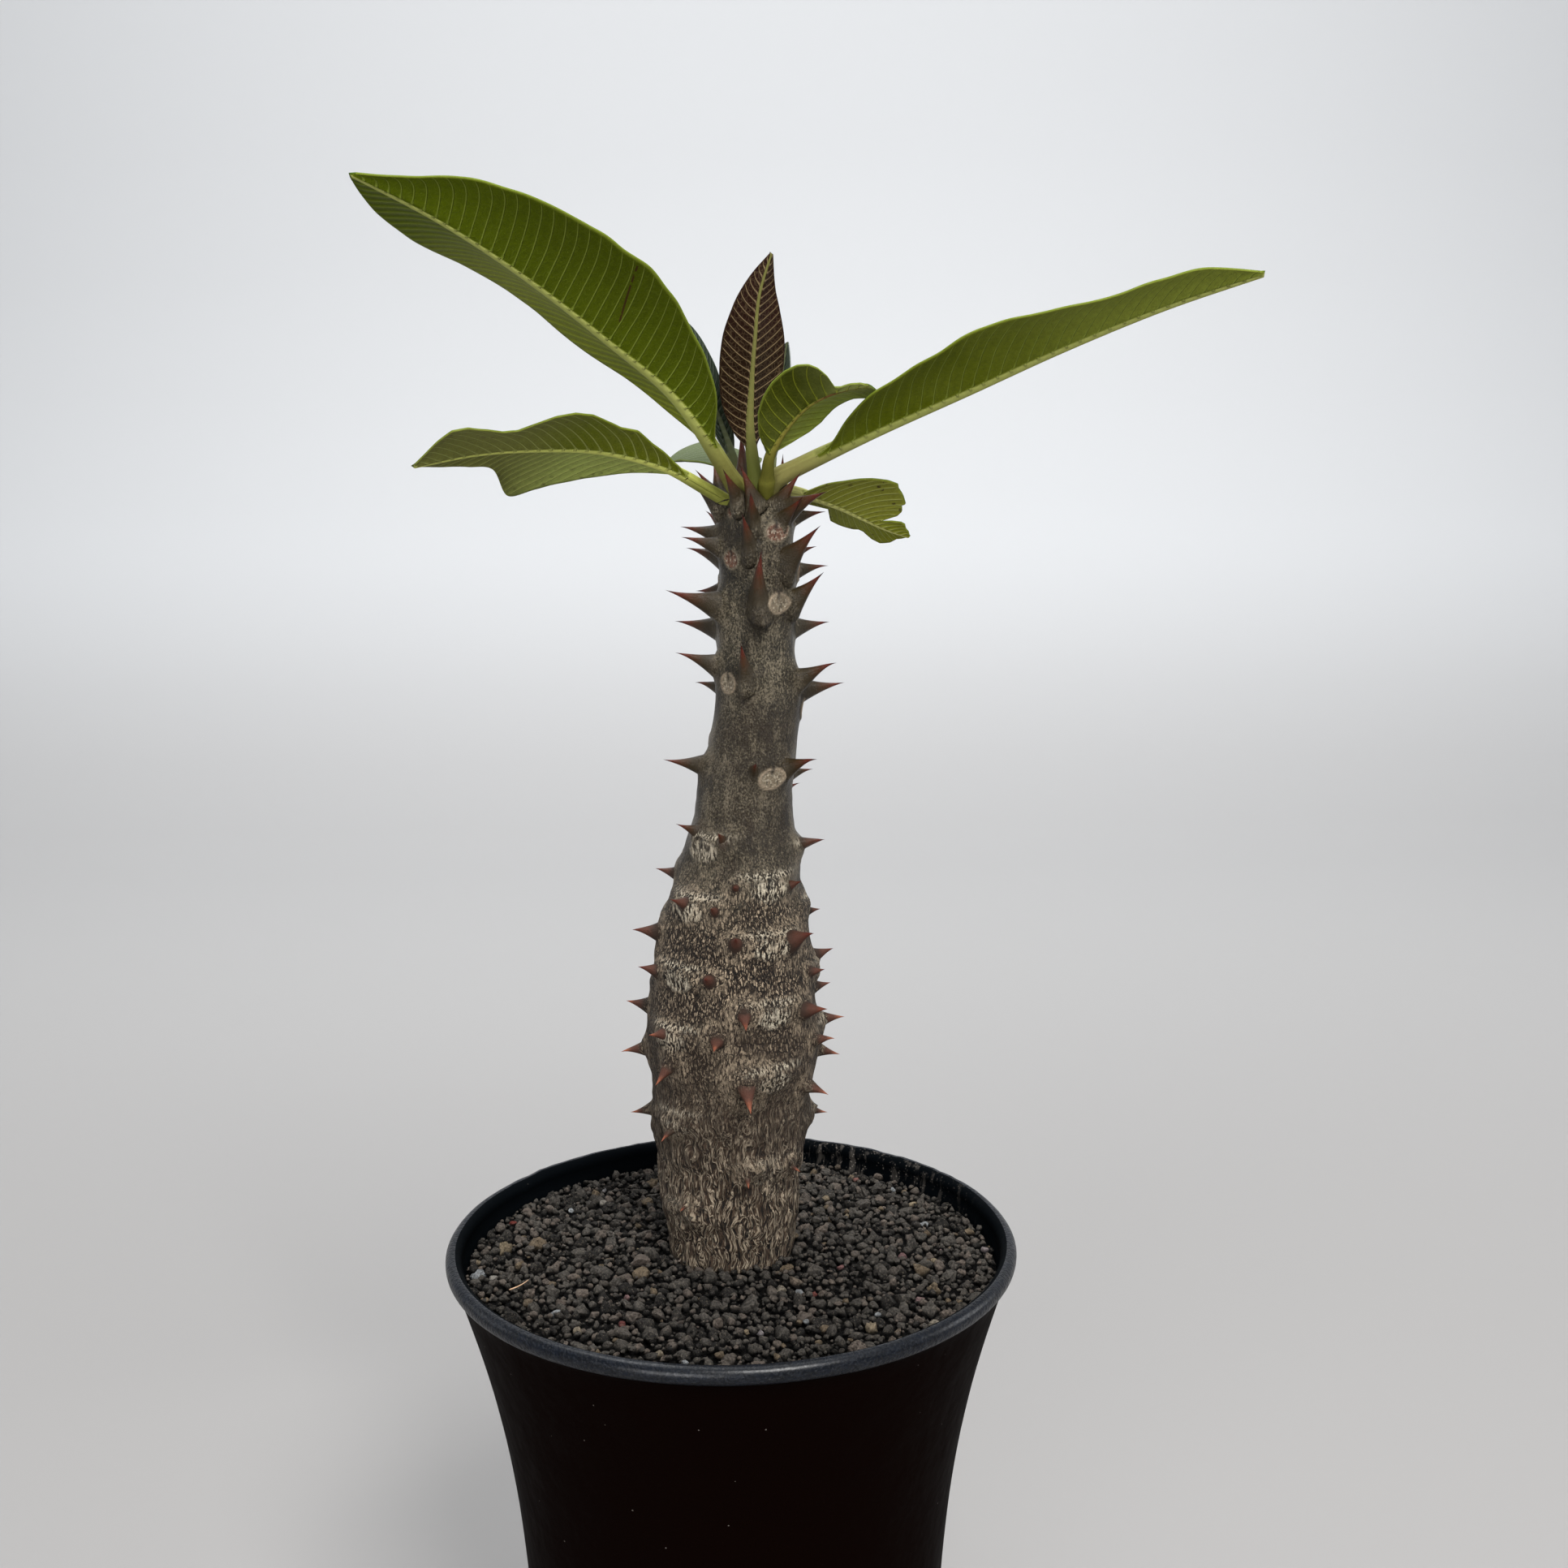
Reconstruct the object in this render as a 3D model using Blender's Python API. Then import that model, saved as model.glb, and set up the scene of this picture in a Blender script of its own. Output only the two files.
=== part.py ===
"""A young potted pachypodium: a flared round pot, a bed of gravel, one swollen spiny stem and nine leaves.

Metres, +Z up. The pot stands on z = 0 with its axis on the origin; +X is to the right and -Y to the front.
Azimuths are in degrees about the vertical, 0 at the front and growing towards the right.
"""

import math
import random
from typing import NamedTuple

import bmesh
import bpy
import numpy as np
from mathutils import Vector

# Pot: outer sizes of the shell and of the round bead along its rim
POT_HEIGHT = 0.120
POT_SIDES = 48
POT_WALL = 0.0016
POT_FLOOR = 0.0024
RIM_RADIUS = 0.060
RIM_INNER_RADIUS = 0.0557
BEAD_RADIUS = 0.0026
BEAD_STEPS = 5
BEAD_FIRST_ANGLE = -70.0
BEAD_LAST_ANGLE = 90.0
LIP_ROUND = 0.0004
WALL_HEIGHTS = (0.0, 0.020, 0.040, 0.057, 0.072, 0.086, 0.098, 0.108, 0.1148)
WALL_RADII = (0.0433, 0.0437, 0.0445, 0.0458, 0.0476, 0.0502, 0.0530, 0.0560, 0.0581)
FOOT_CHAMFER = 0.0012
DRAIN_HOLES = 4
DRAIN_RADIUS = 0.0040
DRAIN_CIRCLE = 0.027
DRAIN_SIDES = 16
DRAIN_CUT = 0.005

# Clearance that separate pieces keep where they touch
GAP = 0.0003

# Gravel: a bed a little higher at the stem, its grains shown larger than life as relief
BED_EDGE_Z = 0.1138
BED_STEM_Z = 0.1176
BED_RINGS = 11
BED_FALL = 0.8
GRAIN_RELIEF = 0.0011
GRAIN_SHIFT = 0.0009

# Stem: heights of its stations, how far its axis leans to the right there, and its radii
STEM_FOOT = 0.1085
STEM_HEIGHTS = (
    0.1085, 0.118, 0.132, 0.146, 0.160, 0.172, 0.184, 0.194, 0.204, 0.216, 0.230, 0.244, 0.260, 0.270,
)
STEM_LEAN = (
    -0.0002, -0.0002, -0.0003, 0.0, 0.0006, 0.0008, 0.0010,
    0.0016, 0.0026, 0.0036, 0.0058, 0.0062, 0.0068, 0.0065,
)
STEM_RADII = (
    0.0128, 0.0130, 0.0147, 0.0160, 0.0172, 0.0170, 0.0158,
    0.0138, 0.0112, 0.0098, 0.0089, 0.0077, 0.0074, 0.0068,
)
STEM_SIDES = 24
STEM_RINGS = 44
CROWN_TOP = 0.2758

# Leaf scars climb the stem two turns in five, and each carries a spine on either side
FIRST_AZIMUTH = 27.0
TURN = 144.0
NODE_NUMBERS = (-8, -5, -3, 0, 2, 5, 7, 10, 12, 15, 17, 20, 22, 25, 27, 30, 32)
NODE_HEIGHTS = (
    0.2724, 0.2679, 0.2626, 0.2541, 0.2382, 0.2194, 0.2047, 0.1972,
    0.1929, 0.1859, 0.1790, 0.1720, 0.1668, 0.1587, 0.1485, 0.1383, 0.1281,
)
NODE_SWELL = 0.0011
NODE_SWELL_WIDTH = 0.0072
NODE_SWELL_HEIGHT = 0.0024

# Spines: how they are made, and how long and steep they are by height where the rule places them
SPINE_SPREAD = 0.0052
SPINE_RISE_ABOVE_SCAR = 0.0012
SPINE_SWEEP = 10.0
SPINE_SIDES = 6
SPINE_ROOT = 0.0016
SPINE_SINK = 0.0006
SPINE_HALF_HEIGHT = 0.0007
SPINE_FLATNESS = 0.75
SPINE_CURVE = 0.05
SPINE_PROFILE = ((0.0, 1.3), (0.22, 0.9), (0.55, 0.42))
SPINE_HALF_HEIGHT_SHARE = 0.17
SPINE_HEIGHTS = (0.120, 0.150, 0.175, 0.200, 0.225, 0.250, 0.275)
SPINE_LENGTHS = (0.0030, 0.0048, 0.0050, 0.0055, 0.0080, 0.0100, 0.0105)
SPINE_SLOPES = (-20.0, -18.0, 2.0, 10.0, 8.0, 14.0, 34.0)
HIDDEN_AZIMUTH = 128.0

# Spines of the side in view, each placed by hand: azimuth, height in mm, length in mm, slope in degrees
SEEN_SPINES = (
    (-30, 274.3, 8.5, 46), (-85, 273.5, 8.5, 36), (-106, 274.0, 8.0, 48), (-6, 270.0, 8.5, 46),
    (38, 270.3, 8.5, 34), (47, 272.8, 11.5, 16), (-14, 265.0, 9.0, 50), (-80, 265.5, 8.0, 10),
    (-100, 267.8, 8.2, 6), (43, 262.5, 12.0, 36), (105, 271.0, 7.2, 3), (102, 260.5, 6.8, 1),
    (124, 263.2, 7.0, 8), (-124, 262.6, 10.0, 8), (2, 254.0, 12.5, 61), (55, 254.5, 9.7, 37),
    (-70, 254.2, 12.0, 13), (-128, 257.0, 8.5, -12), (-118, 249.0, 11.0, 1), (118, 249.0, 9.0, -1),
    (-80, 242.0, 8.6, 14), (-15, 239.5, 9.0, 56), (-126, 236.2, 7.0, 2), (66, 239.0, 9.1, 21),
    (107, 236.5, 10.0, 1), (-84, 221.7, 8.3, 5), (-106, 220.6, 7.4, 2), (4, 221.3, 5.5, 26),
    (47, 221.8, 8.3, 14), (113, 218.7, 4.8, 0), (-60, 208.6, 5.1, 20), (-20, 207.2, 4.4, 34),
    (80, 205.0, 5.7, 7), (104, 204.0, 6.2, 2), (-104, 198.0, 4.8, 6), (-46, 194.6, 5.2, 18),
    (-4, 198.4, 3.2, 10), (47, 197.8, 4.2, 20), (-18, 193.7, 3.6, 22), (-82, 187.0, 5.4, 4),
    (100, 189.7, 2.6, 0), (0, 187.4, 4.6, 30), (44, 187.1, 7.0, 21), (102, 179.8, 4.5, 14),
    (-68, 179.8, 4.5, 15), (-17, 180.2, 4.2, 18), (65, 179.4, 3.4, 12), (105, 173.0, 3.6, 3),
    (-95, 170.3, 4.5, 8), (6, 174.3, 5.2, -34), (53, 172.6, 6.0, 8), (98, 166.5, 5.4, -2),
    (-48, 168.5, 4.9, 5), (-10, 169.0, 5.2, -16), (66, 165.0, 4.4, 8), (-92, 161.4, 5.5, -13),
    (99, 160.0, 5.2, -23), (-45, 162.5, 5.8, -44), (8, 160.3, 7.8, -44), (60, 156.0, 5.2, -19),
    (-95, 148.0, 4.8, -17), (98, 147.0, 4.2, -21), (-46, 148.5, 4.2, -40), (11, 139.8, 3.6, -48),
    (49, 139.6, 3.2, -24), (-36, 132.2, 2.6, -30),
)

# Spines that stand among the leaf stalks: foot and tip
CROWN_SPINES = (
    ((0.0042, 0.0003, 0.2742), (0.0035, -0.0012, 0.2878)),
    ((0.0066, -0.0060, 0.2735), (0.0030, -0.0098, 0.2812)),
    ((0.0000, -0.0012, 0.2745), (-0.0020, 0.0004, 0.2822)),
    ((0.0100, -0.0044, 0.2732), (0.0152, -0.0086, 0.2797)),
    ((0.0104, 0.0000, 0.2748), (0.0118, -0.0004, 0.2830)),
)

# Stubs: the cushions that carry the leaf stalks, wider at the root
STUB_SIDES = 8
STUB_ROOT_SIZE = 1.5
STUB_END_SIZE = 1.12
STUB_ROOT_DEPTH = 0.001

# Crown: the dome's rings as shares of the stem's radius and of the dome's rise
CROWN_RINGS = ((0.93, 0.45), (0.68, 0.80), (0.34, 0.97))

# Leaves
BLADE_THICKNESS = 0.0007
LEAST_HALF_WIDTH = 0.0003
BLADE_STATIONS = 15
STALK_STATIONS = 2
RIB_THINNING = 2.2
RIB_TAPER = 0.6
RIB_RISE = 0.45
RIB_EDGE = 0.8


class Leaf(NamedTuple):
    """One leaf: its midrib's route, and each half's widths, lifts and wave from the blade's foot to its tip.

    The right half is on the right of someone who looks from the stalk along the leaf, upper face up.
    A lift is the half's angle above a level line at right angles to the leaf's heading. A wave is its
    height, its count along the blade and its phase. The slant carries the margin towards the tip.
    """

    name: str
    slot: str
    route: tuple
    heading: float
    stalk_share: float
    stalk_radius: float
    rib_radius: float
    right_widths: tuple
    left_widths: tuple
    right_lifts: tuple
    left_lifts: tuple
    right_wave: tuple = (0.0, 1.0, 0.0)
    left_wave: tuple = (0.0, 1.0, 0.0)
    slant: float = 0.0


LEAVES = (
    Leaf(
        name="leaf_large_left",
        slot="leaf_green",
        route=(
            (0.0022, -0.0050, 0.2775), (-0.0082, -0.0150, 0.2933), (-0.0215, -0.0250, 0.3047),
            (-0.0346, -0.0350, 0.3148), (-0.0473, -0.0450, 0.3230), (-0.0606, -0.0550, 0.3297),
        ),
        heading=-51.0,
        stalk_share=0.07,
        stalk_radius=0.0019,
        rib_radius=0.0010,
        right_widths=(0.0, 0.0052, 0.0096, 0.0136, 0.0156, 0.0156, 0.0145, 0.0130, 0.0101, 0.0046, 0.0),
        left_widths=(0.0, 0.0056, 0.0106, 0.0150, 0.0172, 0.0168, 0.0154, 0.0136, 0.0108, 0.0066, 0.0),
        right_lifts=(40.0, 42.0, 40.0, 40.0, 36.0),
        left_lifts=(4.0, 9.0, 10.0, -2.0, -14.0),
    ),
    Leaf(
        name="leaf_low_left",
        slot="leaf_green",
        route=(
            (-0.0010, -0.0040, 0.2732), (-0.0109, -0.0092, 0.2806), (-0.0225, -0.0144, 0.2839),
            (-0.0342, -0.0196, 0.2845), (-0.0451, -0.0248, 0.2838), (-0.0563, -0.0300, 0.2816),
        ),
        heading=-64.0,
        stalk_share=0.12,
        stalk_radius=0.0017,
        rib_radius=0.0008,
        right_widths=(0.0, 0.0018, 0.0046, 0.0076, 0.0084, 0.0112, 0.0080, 0.0046, 0.0080, 0.0074, 0.0),
        left_widths=(0.0, 0.0035, 0.0062, 0.0090, 0.0116, 0.0136, 0.0146, 0.0052, 0.0036, 0.0026, 0.0),
        right_lifts=(38.0, 36.0, 32.0, 34.0, 40.0),
        left_lifts=(-20.0, -27.0, -34.0, -34.0, -20.0),
        left_wave=(0.0004, 2.0, 0.20),
    ),
    Leaf(
        name="leaf_young_middle",
        slot="leaf_young_brown",
        route=(
            (0.0063, -0.0035, 0.2776), (0.0053, -0.0046, 0.2876), (0.0057, -0.0056, 0.2968),
            (0.0064, -0.0064, 0.3050), (0.0073, -0.0072, 0.3130), (0.0097, -0.0080, 0.3207),
        ),
        heading=10.0,
        stalk_share=0.12,
        stalk_radius=0.0015,
        rib_radius=0.0007,
        right_widths=(0.0, 0.0028, 0.0052, 0.0068, 0.0076, 0.0076, 0.0068, 0.0056, 0.0040, 0.0022, 0.0),
        left_widths=(0.0, 0.0030, 0.0051, 0.0060, 0.0064, 0.0064, 0.0058, 0.0046, 0.0032, 0.0017, 0.0),
        right_lifts=(34.0, 34.0, 34.0, 36.0, 44.0),
        left_lifts=(30.0, 32.0, 34.0, 34.0, 30.0),
    ),
    Leaf(
        name="leaf_young_behind_left",
        slot="leaf_young_grey",
        route=(
            (0.0036, 0.0028, 0.2768), (0.0008, 0.0056, 0.2850), (-0.0020, 0.0082, 0.2930),
            (-0.0046, 0.0104, 0.3000), (-0.0072, 0.0122, 0.3060), (-0.0098, 0.0136, 0.3108),
        ),
        heading=-150.0,
        stalk_share=0.14,
        stalk_radius=0.0014,
        rib_radius=0.0006,
        right_widths=(0.0, 0.0024, 0.0042, 0.0052, 0.0056, 0.0055, 0.0050, 0.0042, 0.0030, 0.0016, 0.0),
        left_widths=(0.0, 0.0011, 0.0020, 0.0026, 0.0028, 0.0028, 0.0026, 0.0023, 0.0018, 0.0010, 0.0),
        right_lifts=(36.0, 36.0, 36.0, 36.0, 36.0),
        left_lifts=(52.0, 52.0, 52.0, 50.0, 46.0),
    ),
    Leaf(
        name="leaf_young_behind_right",
        slot="leaf_young_grey",
        route=(
            (0.0092, 0.0026, 0.2768), (0.0100, 0.0048, 0.2836), (0.0108, 0.0068, 0.2898),
            (0.0117, 0.0084, 0.2954), (0.0125, 0.0096, 0.3004), (0.0132, 0.0104, 0.3048),
        ),
        heading=150.0,
        stalk_share=0.14,
        stalk_radius=0.0012,
        rib_radius=0.0005,
        right_widths=(0.0, 0.0014, 0.0025, 0.0032, 0.0036, 0.0037, 0.0034, 0.0029, 0.0022, 0.0012, 0.0),
        left_widths=(0.0, 0.0014, 0.0025, 0.0032, 0.0036, 0.0037, 0.0034, 0.0029, 0.0022, 0.0012, 0.0),
        right_lifts=(40.0, 40.0, 40.0, 40.0, 40.0),
        left_lifts=(40.0, 40.0, 40.0, 40.0, 40.0),
    ),
    Leaf(
        name="leaf_small_curled",
        slot="leaf_green",
        route=(
            (0.0085, -0.0060, 0.2767), (0.0092, -0.0093, 0.2827), (0.0122, -0.0125, 0.2879),
            (0.0163, -0.0157, 0.2921), (0.0213, -0.0188, 0.2945), (0.0272, -0.0220, 0.2957),
        ),
        heading=42.0,
        stalk_share=0.20,
        stalk_radius=0.0015,
        rib_radius=0.0006,
        right_widths=(0.0, 0.0030, 0.0056, 0.0071, 0.0073, 0.0067, 0.0060, 0.0058, 0.0058, 0.0046, 0.0),
        left_widths=(0.0, 0.0034, 0.0058, 0.0070, 0.0078, 0.0082, 0.0076, 0.0056, 0.0010, 0.0008, 0.0),
        right_lifts=(0.0, 0.0, 0.0, 0.0, 0.0),
        left_lifts=(40.0, 44.0, 46.0, 40.0, 20.0),
        slant=0.2,
    ),
    Leaf(
        name="leaf_large_right",
        slot="leaf_green",
        route=(
            (0.0119, -0.0030, 0.2793), (0.0286, -0.0106, 0.2874), (0.0460, -0.0185, 0.2951),
            (0.0625, -0.0262, 0.3025), (0.0790, -0.0340, 0.3091), (0.0950, -0.0420, 0.3143),
        ),
        heading=65.0,
        stalk_share=0.07,
        stalk_radius=0.0019,
        rib_radius=0.0010,
        right_widths=(0.0, 0.0058, 0.0098, 0.0124, 0.0136, 0.0132, 0.0112, 0.0094, 0.0084, 0.0056, 0.0),
        left_widths=(0.0, 0.0060, 0.0096, 0.0115, 0.0125, 0.0125, 0.0105, 0.0080, 0.0070, 0.0053, 0.0),
        right_lifts=(26.0, 30.0, 30.0, 30.0, 34.0),
        left_lifts=(30.0, 33.0, 33.0, 33.0, 38.0),
        left_wave=(0.0005, 2.2, 0.30),
        right_wave=(0.0006, 2.4, 0.10),
    ),
    Leaf(
        name="leaf_low_right",
        slot="leaf_green",
        route=(
            (0.0125, 0.0010, 0.2758), (0.0182, 0.0039, 0.2743), (0.0233, 0.0060, 0.2723),
            (0.0280, 0.0082, 0.2700), (0.0330, 0.0103, 0.2676), (0.0379, 0.0120, 0.2658),
        ),
        heading=112.0,
        stalk_share=0.08,
        stalk_radius=0.0014,
        rib_radius=0.0007,
        right_widths=(0.0, 0.0020, 0.0020, 0.0018, 0.0040, 0.0046, 0.0046, 0.0042, 0.0034, 0.0020, 0.0),
        left_widths=(0.0, 0.0042, 0.0068, 0.0085, 0.0096, 0.0099, 0.0086, 0.0016, 0.0034, 0.0028, 0.0),
        right_lifts=(-20.0, -26.0, -30.0, -30.0, -30.0),
        left_lifts=(40.0, 46.0, 50.0, 50.0, 50.0),
        slant=0.3,
    ),
    Leaf(
        name="leaf_back",
        slot="leaf_green",
        route=(
            (0.0060, 0.0069, 0.2762), (0.0026, 0.0200, 0.2812), (-0.0008, 0.0335, 0.2838),
            (-0.0042, 0.0470, 0.2844), (-0.0078, 0.0605, 0.2830), (-0.0115, 0.0740, 0.2800),
        ),
        heading=-165.0,
        stalk_share=0.08,
        stalk_radius=0.0018,
        rib_radius=0.0008,
        right_widths=(0.0, 0.0050, 0.0080, 0.0092, 0.0094, 0.0090, 0.0080, 0.0066, 0.0048, 0.0026, 0.0),
        left_widths=(0.0, 0.0034, 0.0062, 0.0078, 0.0084, 0.0083, 0.0076, 0.0064, 0.0048, 0.0026, 0.0),
        right_lifts=(10.0, -12.0, -24.0, -26.0, -26.0),
        left_lifts=(10.0, -12.0, -24.0, -26.0, -26.0),
    ),
)

# Finishes: base colour and roughness of each material slot
FINISHES = {
    "pot_plastic": ((0.016, 0.019, 0.024), 0.45),
    "gravel": ((0.045, 0.042, 0.040), 0.95),
    "bark": ((0.165, 0.135, 0.105), 0.80),
    "leaf_green": ((0.075, 0.130, 0.012), 0.42),
    "leaf_young_brown": ((0.075, 0.042, 0.030), 0.55),
    "leaf_young_grey": ((0.045, 0.060, 0.045), 0.60),
}


def clear_scene():
    """Removes every object that the scene starts with."""
    for found in list(bpy.data.objects):
        bpy.data.objects.remove(found)


def finish(slot):
    """The material of a slot, made on first use."""
    material = bpy.data.materials.get(slot)
    if material is None:
        colour, roughness = FINISHES[slot]
        material = bpy.data.materials.new(slot)
        material.use_nodes = True
        shader = material.node_tree.nodes["Principled BSDF"]
        shader.inputs["Base Color"].default_value = (*colour, 1.0)
        shader.inputs["Roughness"].default_value = roughness
    return material


def add_object(name, points, faces, slot):
    """Makes one named object from points and faces, with its finish."""
    mesh = bpy.data.meshes.new(name)
    mesh.from_pydata([tuple(point) for point in points], [], faces)
    mesh.materials.append(finish(slot))
    made = bpy.data.objects.new(name, mesh)
    bpy.context.scene.collection.objects.link(made)
    return made


def apply_modifiers(made):
    """Replaces the object's mesh by its evaluated form."""
    graph = bpy.context.evaluated_depsgraph_get()
    evaluated = bpy.data.meshes.new_from_object(made.evaluated_get(graph))
    made.modifiers.clear()
    made.data = evaluated


def combine(made, others, operation):
    """Joins the other closed objects to this one, or cuts them from it, and removes them."""
    group = bpy.data.collections.new(made.name + "_group")
    bpy.context.scene.collection.children.link(group)
    for other in others:
        bpy.context.scene.collection.objects.unlink(other)
        group.objects.link(other)
    modifier = made.modifiers.new("combine", "BOOLEAN")
    modifier.operation = operation
    modifier.operand_type = "COLLECTION"
    modifier.collection = group
    modifier.solver = "EXACT"
    apply_modifiers(made)
    for other in others:
        bpy.data.objects.remove(other)
    bpy.data.collections.remove(group)


def smooth_curve(stations, share):
    """The point of a smooth curve through evenly spaced stations, at a share of its way."""
    values = np.asarray(stations, float)
    last = len(values) - 1
    place = min(max(share, 0.0), 1.0) * last
    index = min(int(place), last - 1)
    part = place - index
    first, second = values[index], values[index + 1]
    before = values[index - 1] if index else 2 * first - second
    after = values[index + 2] if index + 2 <= last else 2 * second - first
    return 0.5 * (
        2 * first
        + (second - before) * part
        + (2 * before - 5 * first + 4 * second - after) * part**2
        + (3 * first - before - 3 * second + after) * part**3
    )


def lathe(profile, sides):
    """Points and faces of a closed profile turned about the axis. It starts and ends on the axis."""
    points = [Vector((0.0, 0.0, profile[0][1]))]
    for radius, height in profile[1:-1]:
        for side in range(sides):
            angle = 2 * math.pi * side / sides
            points.append(Vector((radius * math.cos(angle), radius * math.sin(angle), height)))
    points.append(Vector((0.0, 0.0, profile[-1][1])))
    rings = len(profile) - 2
    faces = [(0, 1 + (side + 1) % sides, 1 + side) for side in range(sides)]
    for ring in range(rings - 1):
        low = 1 + ring * sides
        high = low + sides
        for side in range(sides):
            after = (side + 1) % sides
            faces.append((low + side, low + after, high + after, high + side))
    last = 1 + (rings - 1) * sides
    top = len(points) - 1
    faces += [(last + side, last + (side + 1) % sides, top) for side in range(sides)]
    return points, faces


def inner_radius(height):
    """Inner radius of the pot's wall at a height."""
    radii = [min(radius - POT_WALL, RIM_INNER_RADIUS) for radius in WALL_RADII]
    return float(np.interp(height, WALL_HEIGHTS, radii))


def build_pot():
    """The hollow pot, with its beaded rim and drain holes."""
    bead_centre = (RIM_RADIUS - BEAD_RADIUS, POT_HEIGHT - BEAD_RADIUS)
    profile = [(0.0, 0.0), (WALL_RADII[0] - FOOT_CHAMFER, 0.0), (WALL_RADII[0], FOOT_CHAMFER)]
    profile += list(zip(WALL_RADII[1:], WALL_HEIGHTS[1:]))
    for step in range(BEAD_STEPS + 1):
        angle = math.radians(BEAD_FIRST_ANGLE + (BEAD_LAST_ANGLE - BEAD_FIRST_ANGLE) * step / BEAD_STEPS)
        profile.append(
            (bead_centre[0] + BEAD_RADIUS * math.cos(angle), bead_centre[1] + BEAD_RADIUS * math.sin(angle))
        )
    profile.append((RIM_INNER_RADIUS + LIP_ROUND, POT_HEIGHT - LIP_ROUND))
    profile.append((RIM_INNER_RADIUS, POT_HEIGHT - 3 * LIP_ROUND))
    for height in reversed(WALL_HEIGHTS[1:]):
        profile.append((inner_radius(height), height))
    profile += [(inner_radius(POT_FLOOR), POT_FLOOR), (0.0, POT_FLOOR)]
    pot = add_object("pot", *lathe(profile, POT_SIDES), "pot_plastic")
    cutters = []
    for hole in range(DRAIN_HOLES):
        angle = 2 * math.pi * (hole + 0.5) / DRAIN_HOLES
        cutter = add_object(
            "drain",
            *lathe(
                ((0.0, -DRAIN_CUT), (DRAIN_RADIUS, -DRAIN_CUT), (DRAIN_RADIUS, DRAIN_CUT), (0.0, DRAIN_CUT)),
                DRAIN_SIDES,
            ),
            "pot_plastic",
        )
        cutter.location = (DRAIN_CIRCLE * math.cos(angle), DRAIN_CIRCLE * math.sin(angle), 0.0)
        cutters.append(cutter)
    bpy.context.view_layer.update()
    combine(pot, cutters, "DIFFERENCE")


def bed_height(radius):
    """Height of the gravel's mean surface at a distance from the axis."""
    share = (radius - STEM_RADII[1]) / (RIM_INNER_RADIUS - STEM_RADII[1])
    return BED_STEM_Z + (BED_EDGE_Z - BED_STEM_Z) * min(max(share, 0.0), 1.0) ** BED_FALL


def build_gravel():
    """The bed: it fills the pot, has a plain hole for the stem, and grains as relief on its top."""
    chance = random.Random(7)
    hole_radius = STEM_RADII[1] + GAP
    edge_radius = inner_radius(BED_EDGE_Z) - GAP
    floor = POT_FLOOR + GAP
    profile = [(0.0, floor), (inner_radius(floor) - GAP, floor)]
    profile += [(inner_radius(h) - GAP, h) for h in WALL_HEIGHTS[1:-1]]
    profile.append((edge_radius, BED_EDGE_Z))
    rings = len(profile) - 1
    for ring in range(1, BED_RINGS):
        radius = edge_radius + (hole_radius - edge_radius) * ring / BED_RINGS
        profile.append((radius, bed_height(radius)))
    profile += [(hole_radius, BED_STEM_Z), (hole_radius, STEM_FOOT - GAP), (0.0, STEM_FOOT - GAP)]
    points, faces = lathe(profile, POT_SIDES)
    first = 1 + rings * POT_SIDES
    for index in range(first, first + (BED_RINGS - 1) * POT_SIDES):
        shift = Vector((chance.uniform(-1, 1), chance.uniform(-1, 1), 0.0)) * GRAIN_SHIFT
        points[index] += shift + Vector((0.0, 0.0, chance.uniform(-1, 1) * GRAIN_RELIEF))
    triangles = []
    for face in faces:
        triangles += [(face[0], *face[k : k + 2]) for k in range(1, len(face) - 1)]
    add_object("gravel", points, triangles, "gravel")


def stem_axis(height):
    """The point of the stem's leaning axis at a height."""
    return Vector((float(np.interp(height, STEM_HEIGHTS, STEM_LEAN)), 0.0, height))


def scars():
    """The leaf scars as (number, azimuth in degrees, height), from the crown down."""
    found = []
    for number in range(NODE_NUMBERS[0], NODE_NUMBERS[-1] + 1):
        height = float(np.interp(number, NODE_NUMBERS, NODE_HEIGHTS))
        found.append((number, (FIRST_AZIMUTH + TURN * number + 180) % 360 - 180, height))
    return found


def stem_radius(azimuth, height):
    """The stem's radius, with the folds that swell under each pair of spines."""
    radius = float(np.interp(height, STEM_HEIGHTS, STEM_RADII))
    for _, scar_azimuth, scar_height in scars():
        across = math.radians((azimuth - scar_azimuth + 180) % 360 - 180) * radius
        along = height - scar_height
        if abs(along) < 4 * NODE_SWELL_HEIGHT:
            distance = (across / NODE_SWELL_WIDTH) ** 2 + (along / NODE_SWELL_HEIGHT) ** 2
            radius += NODE_SWELL * math.exp(-distance)
    return radius


def outward(azimuth):
    """The level direction of an azimuth."""
    angle = math.radians(azimuth)
    return Vector((math.sin(angle), -math.cos(angle), 0.0))


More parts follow.
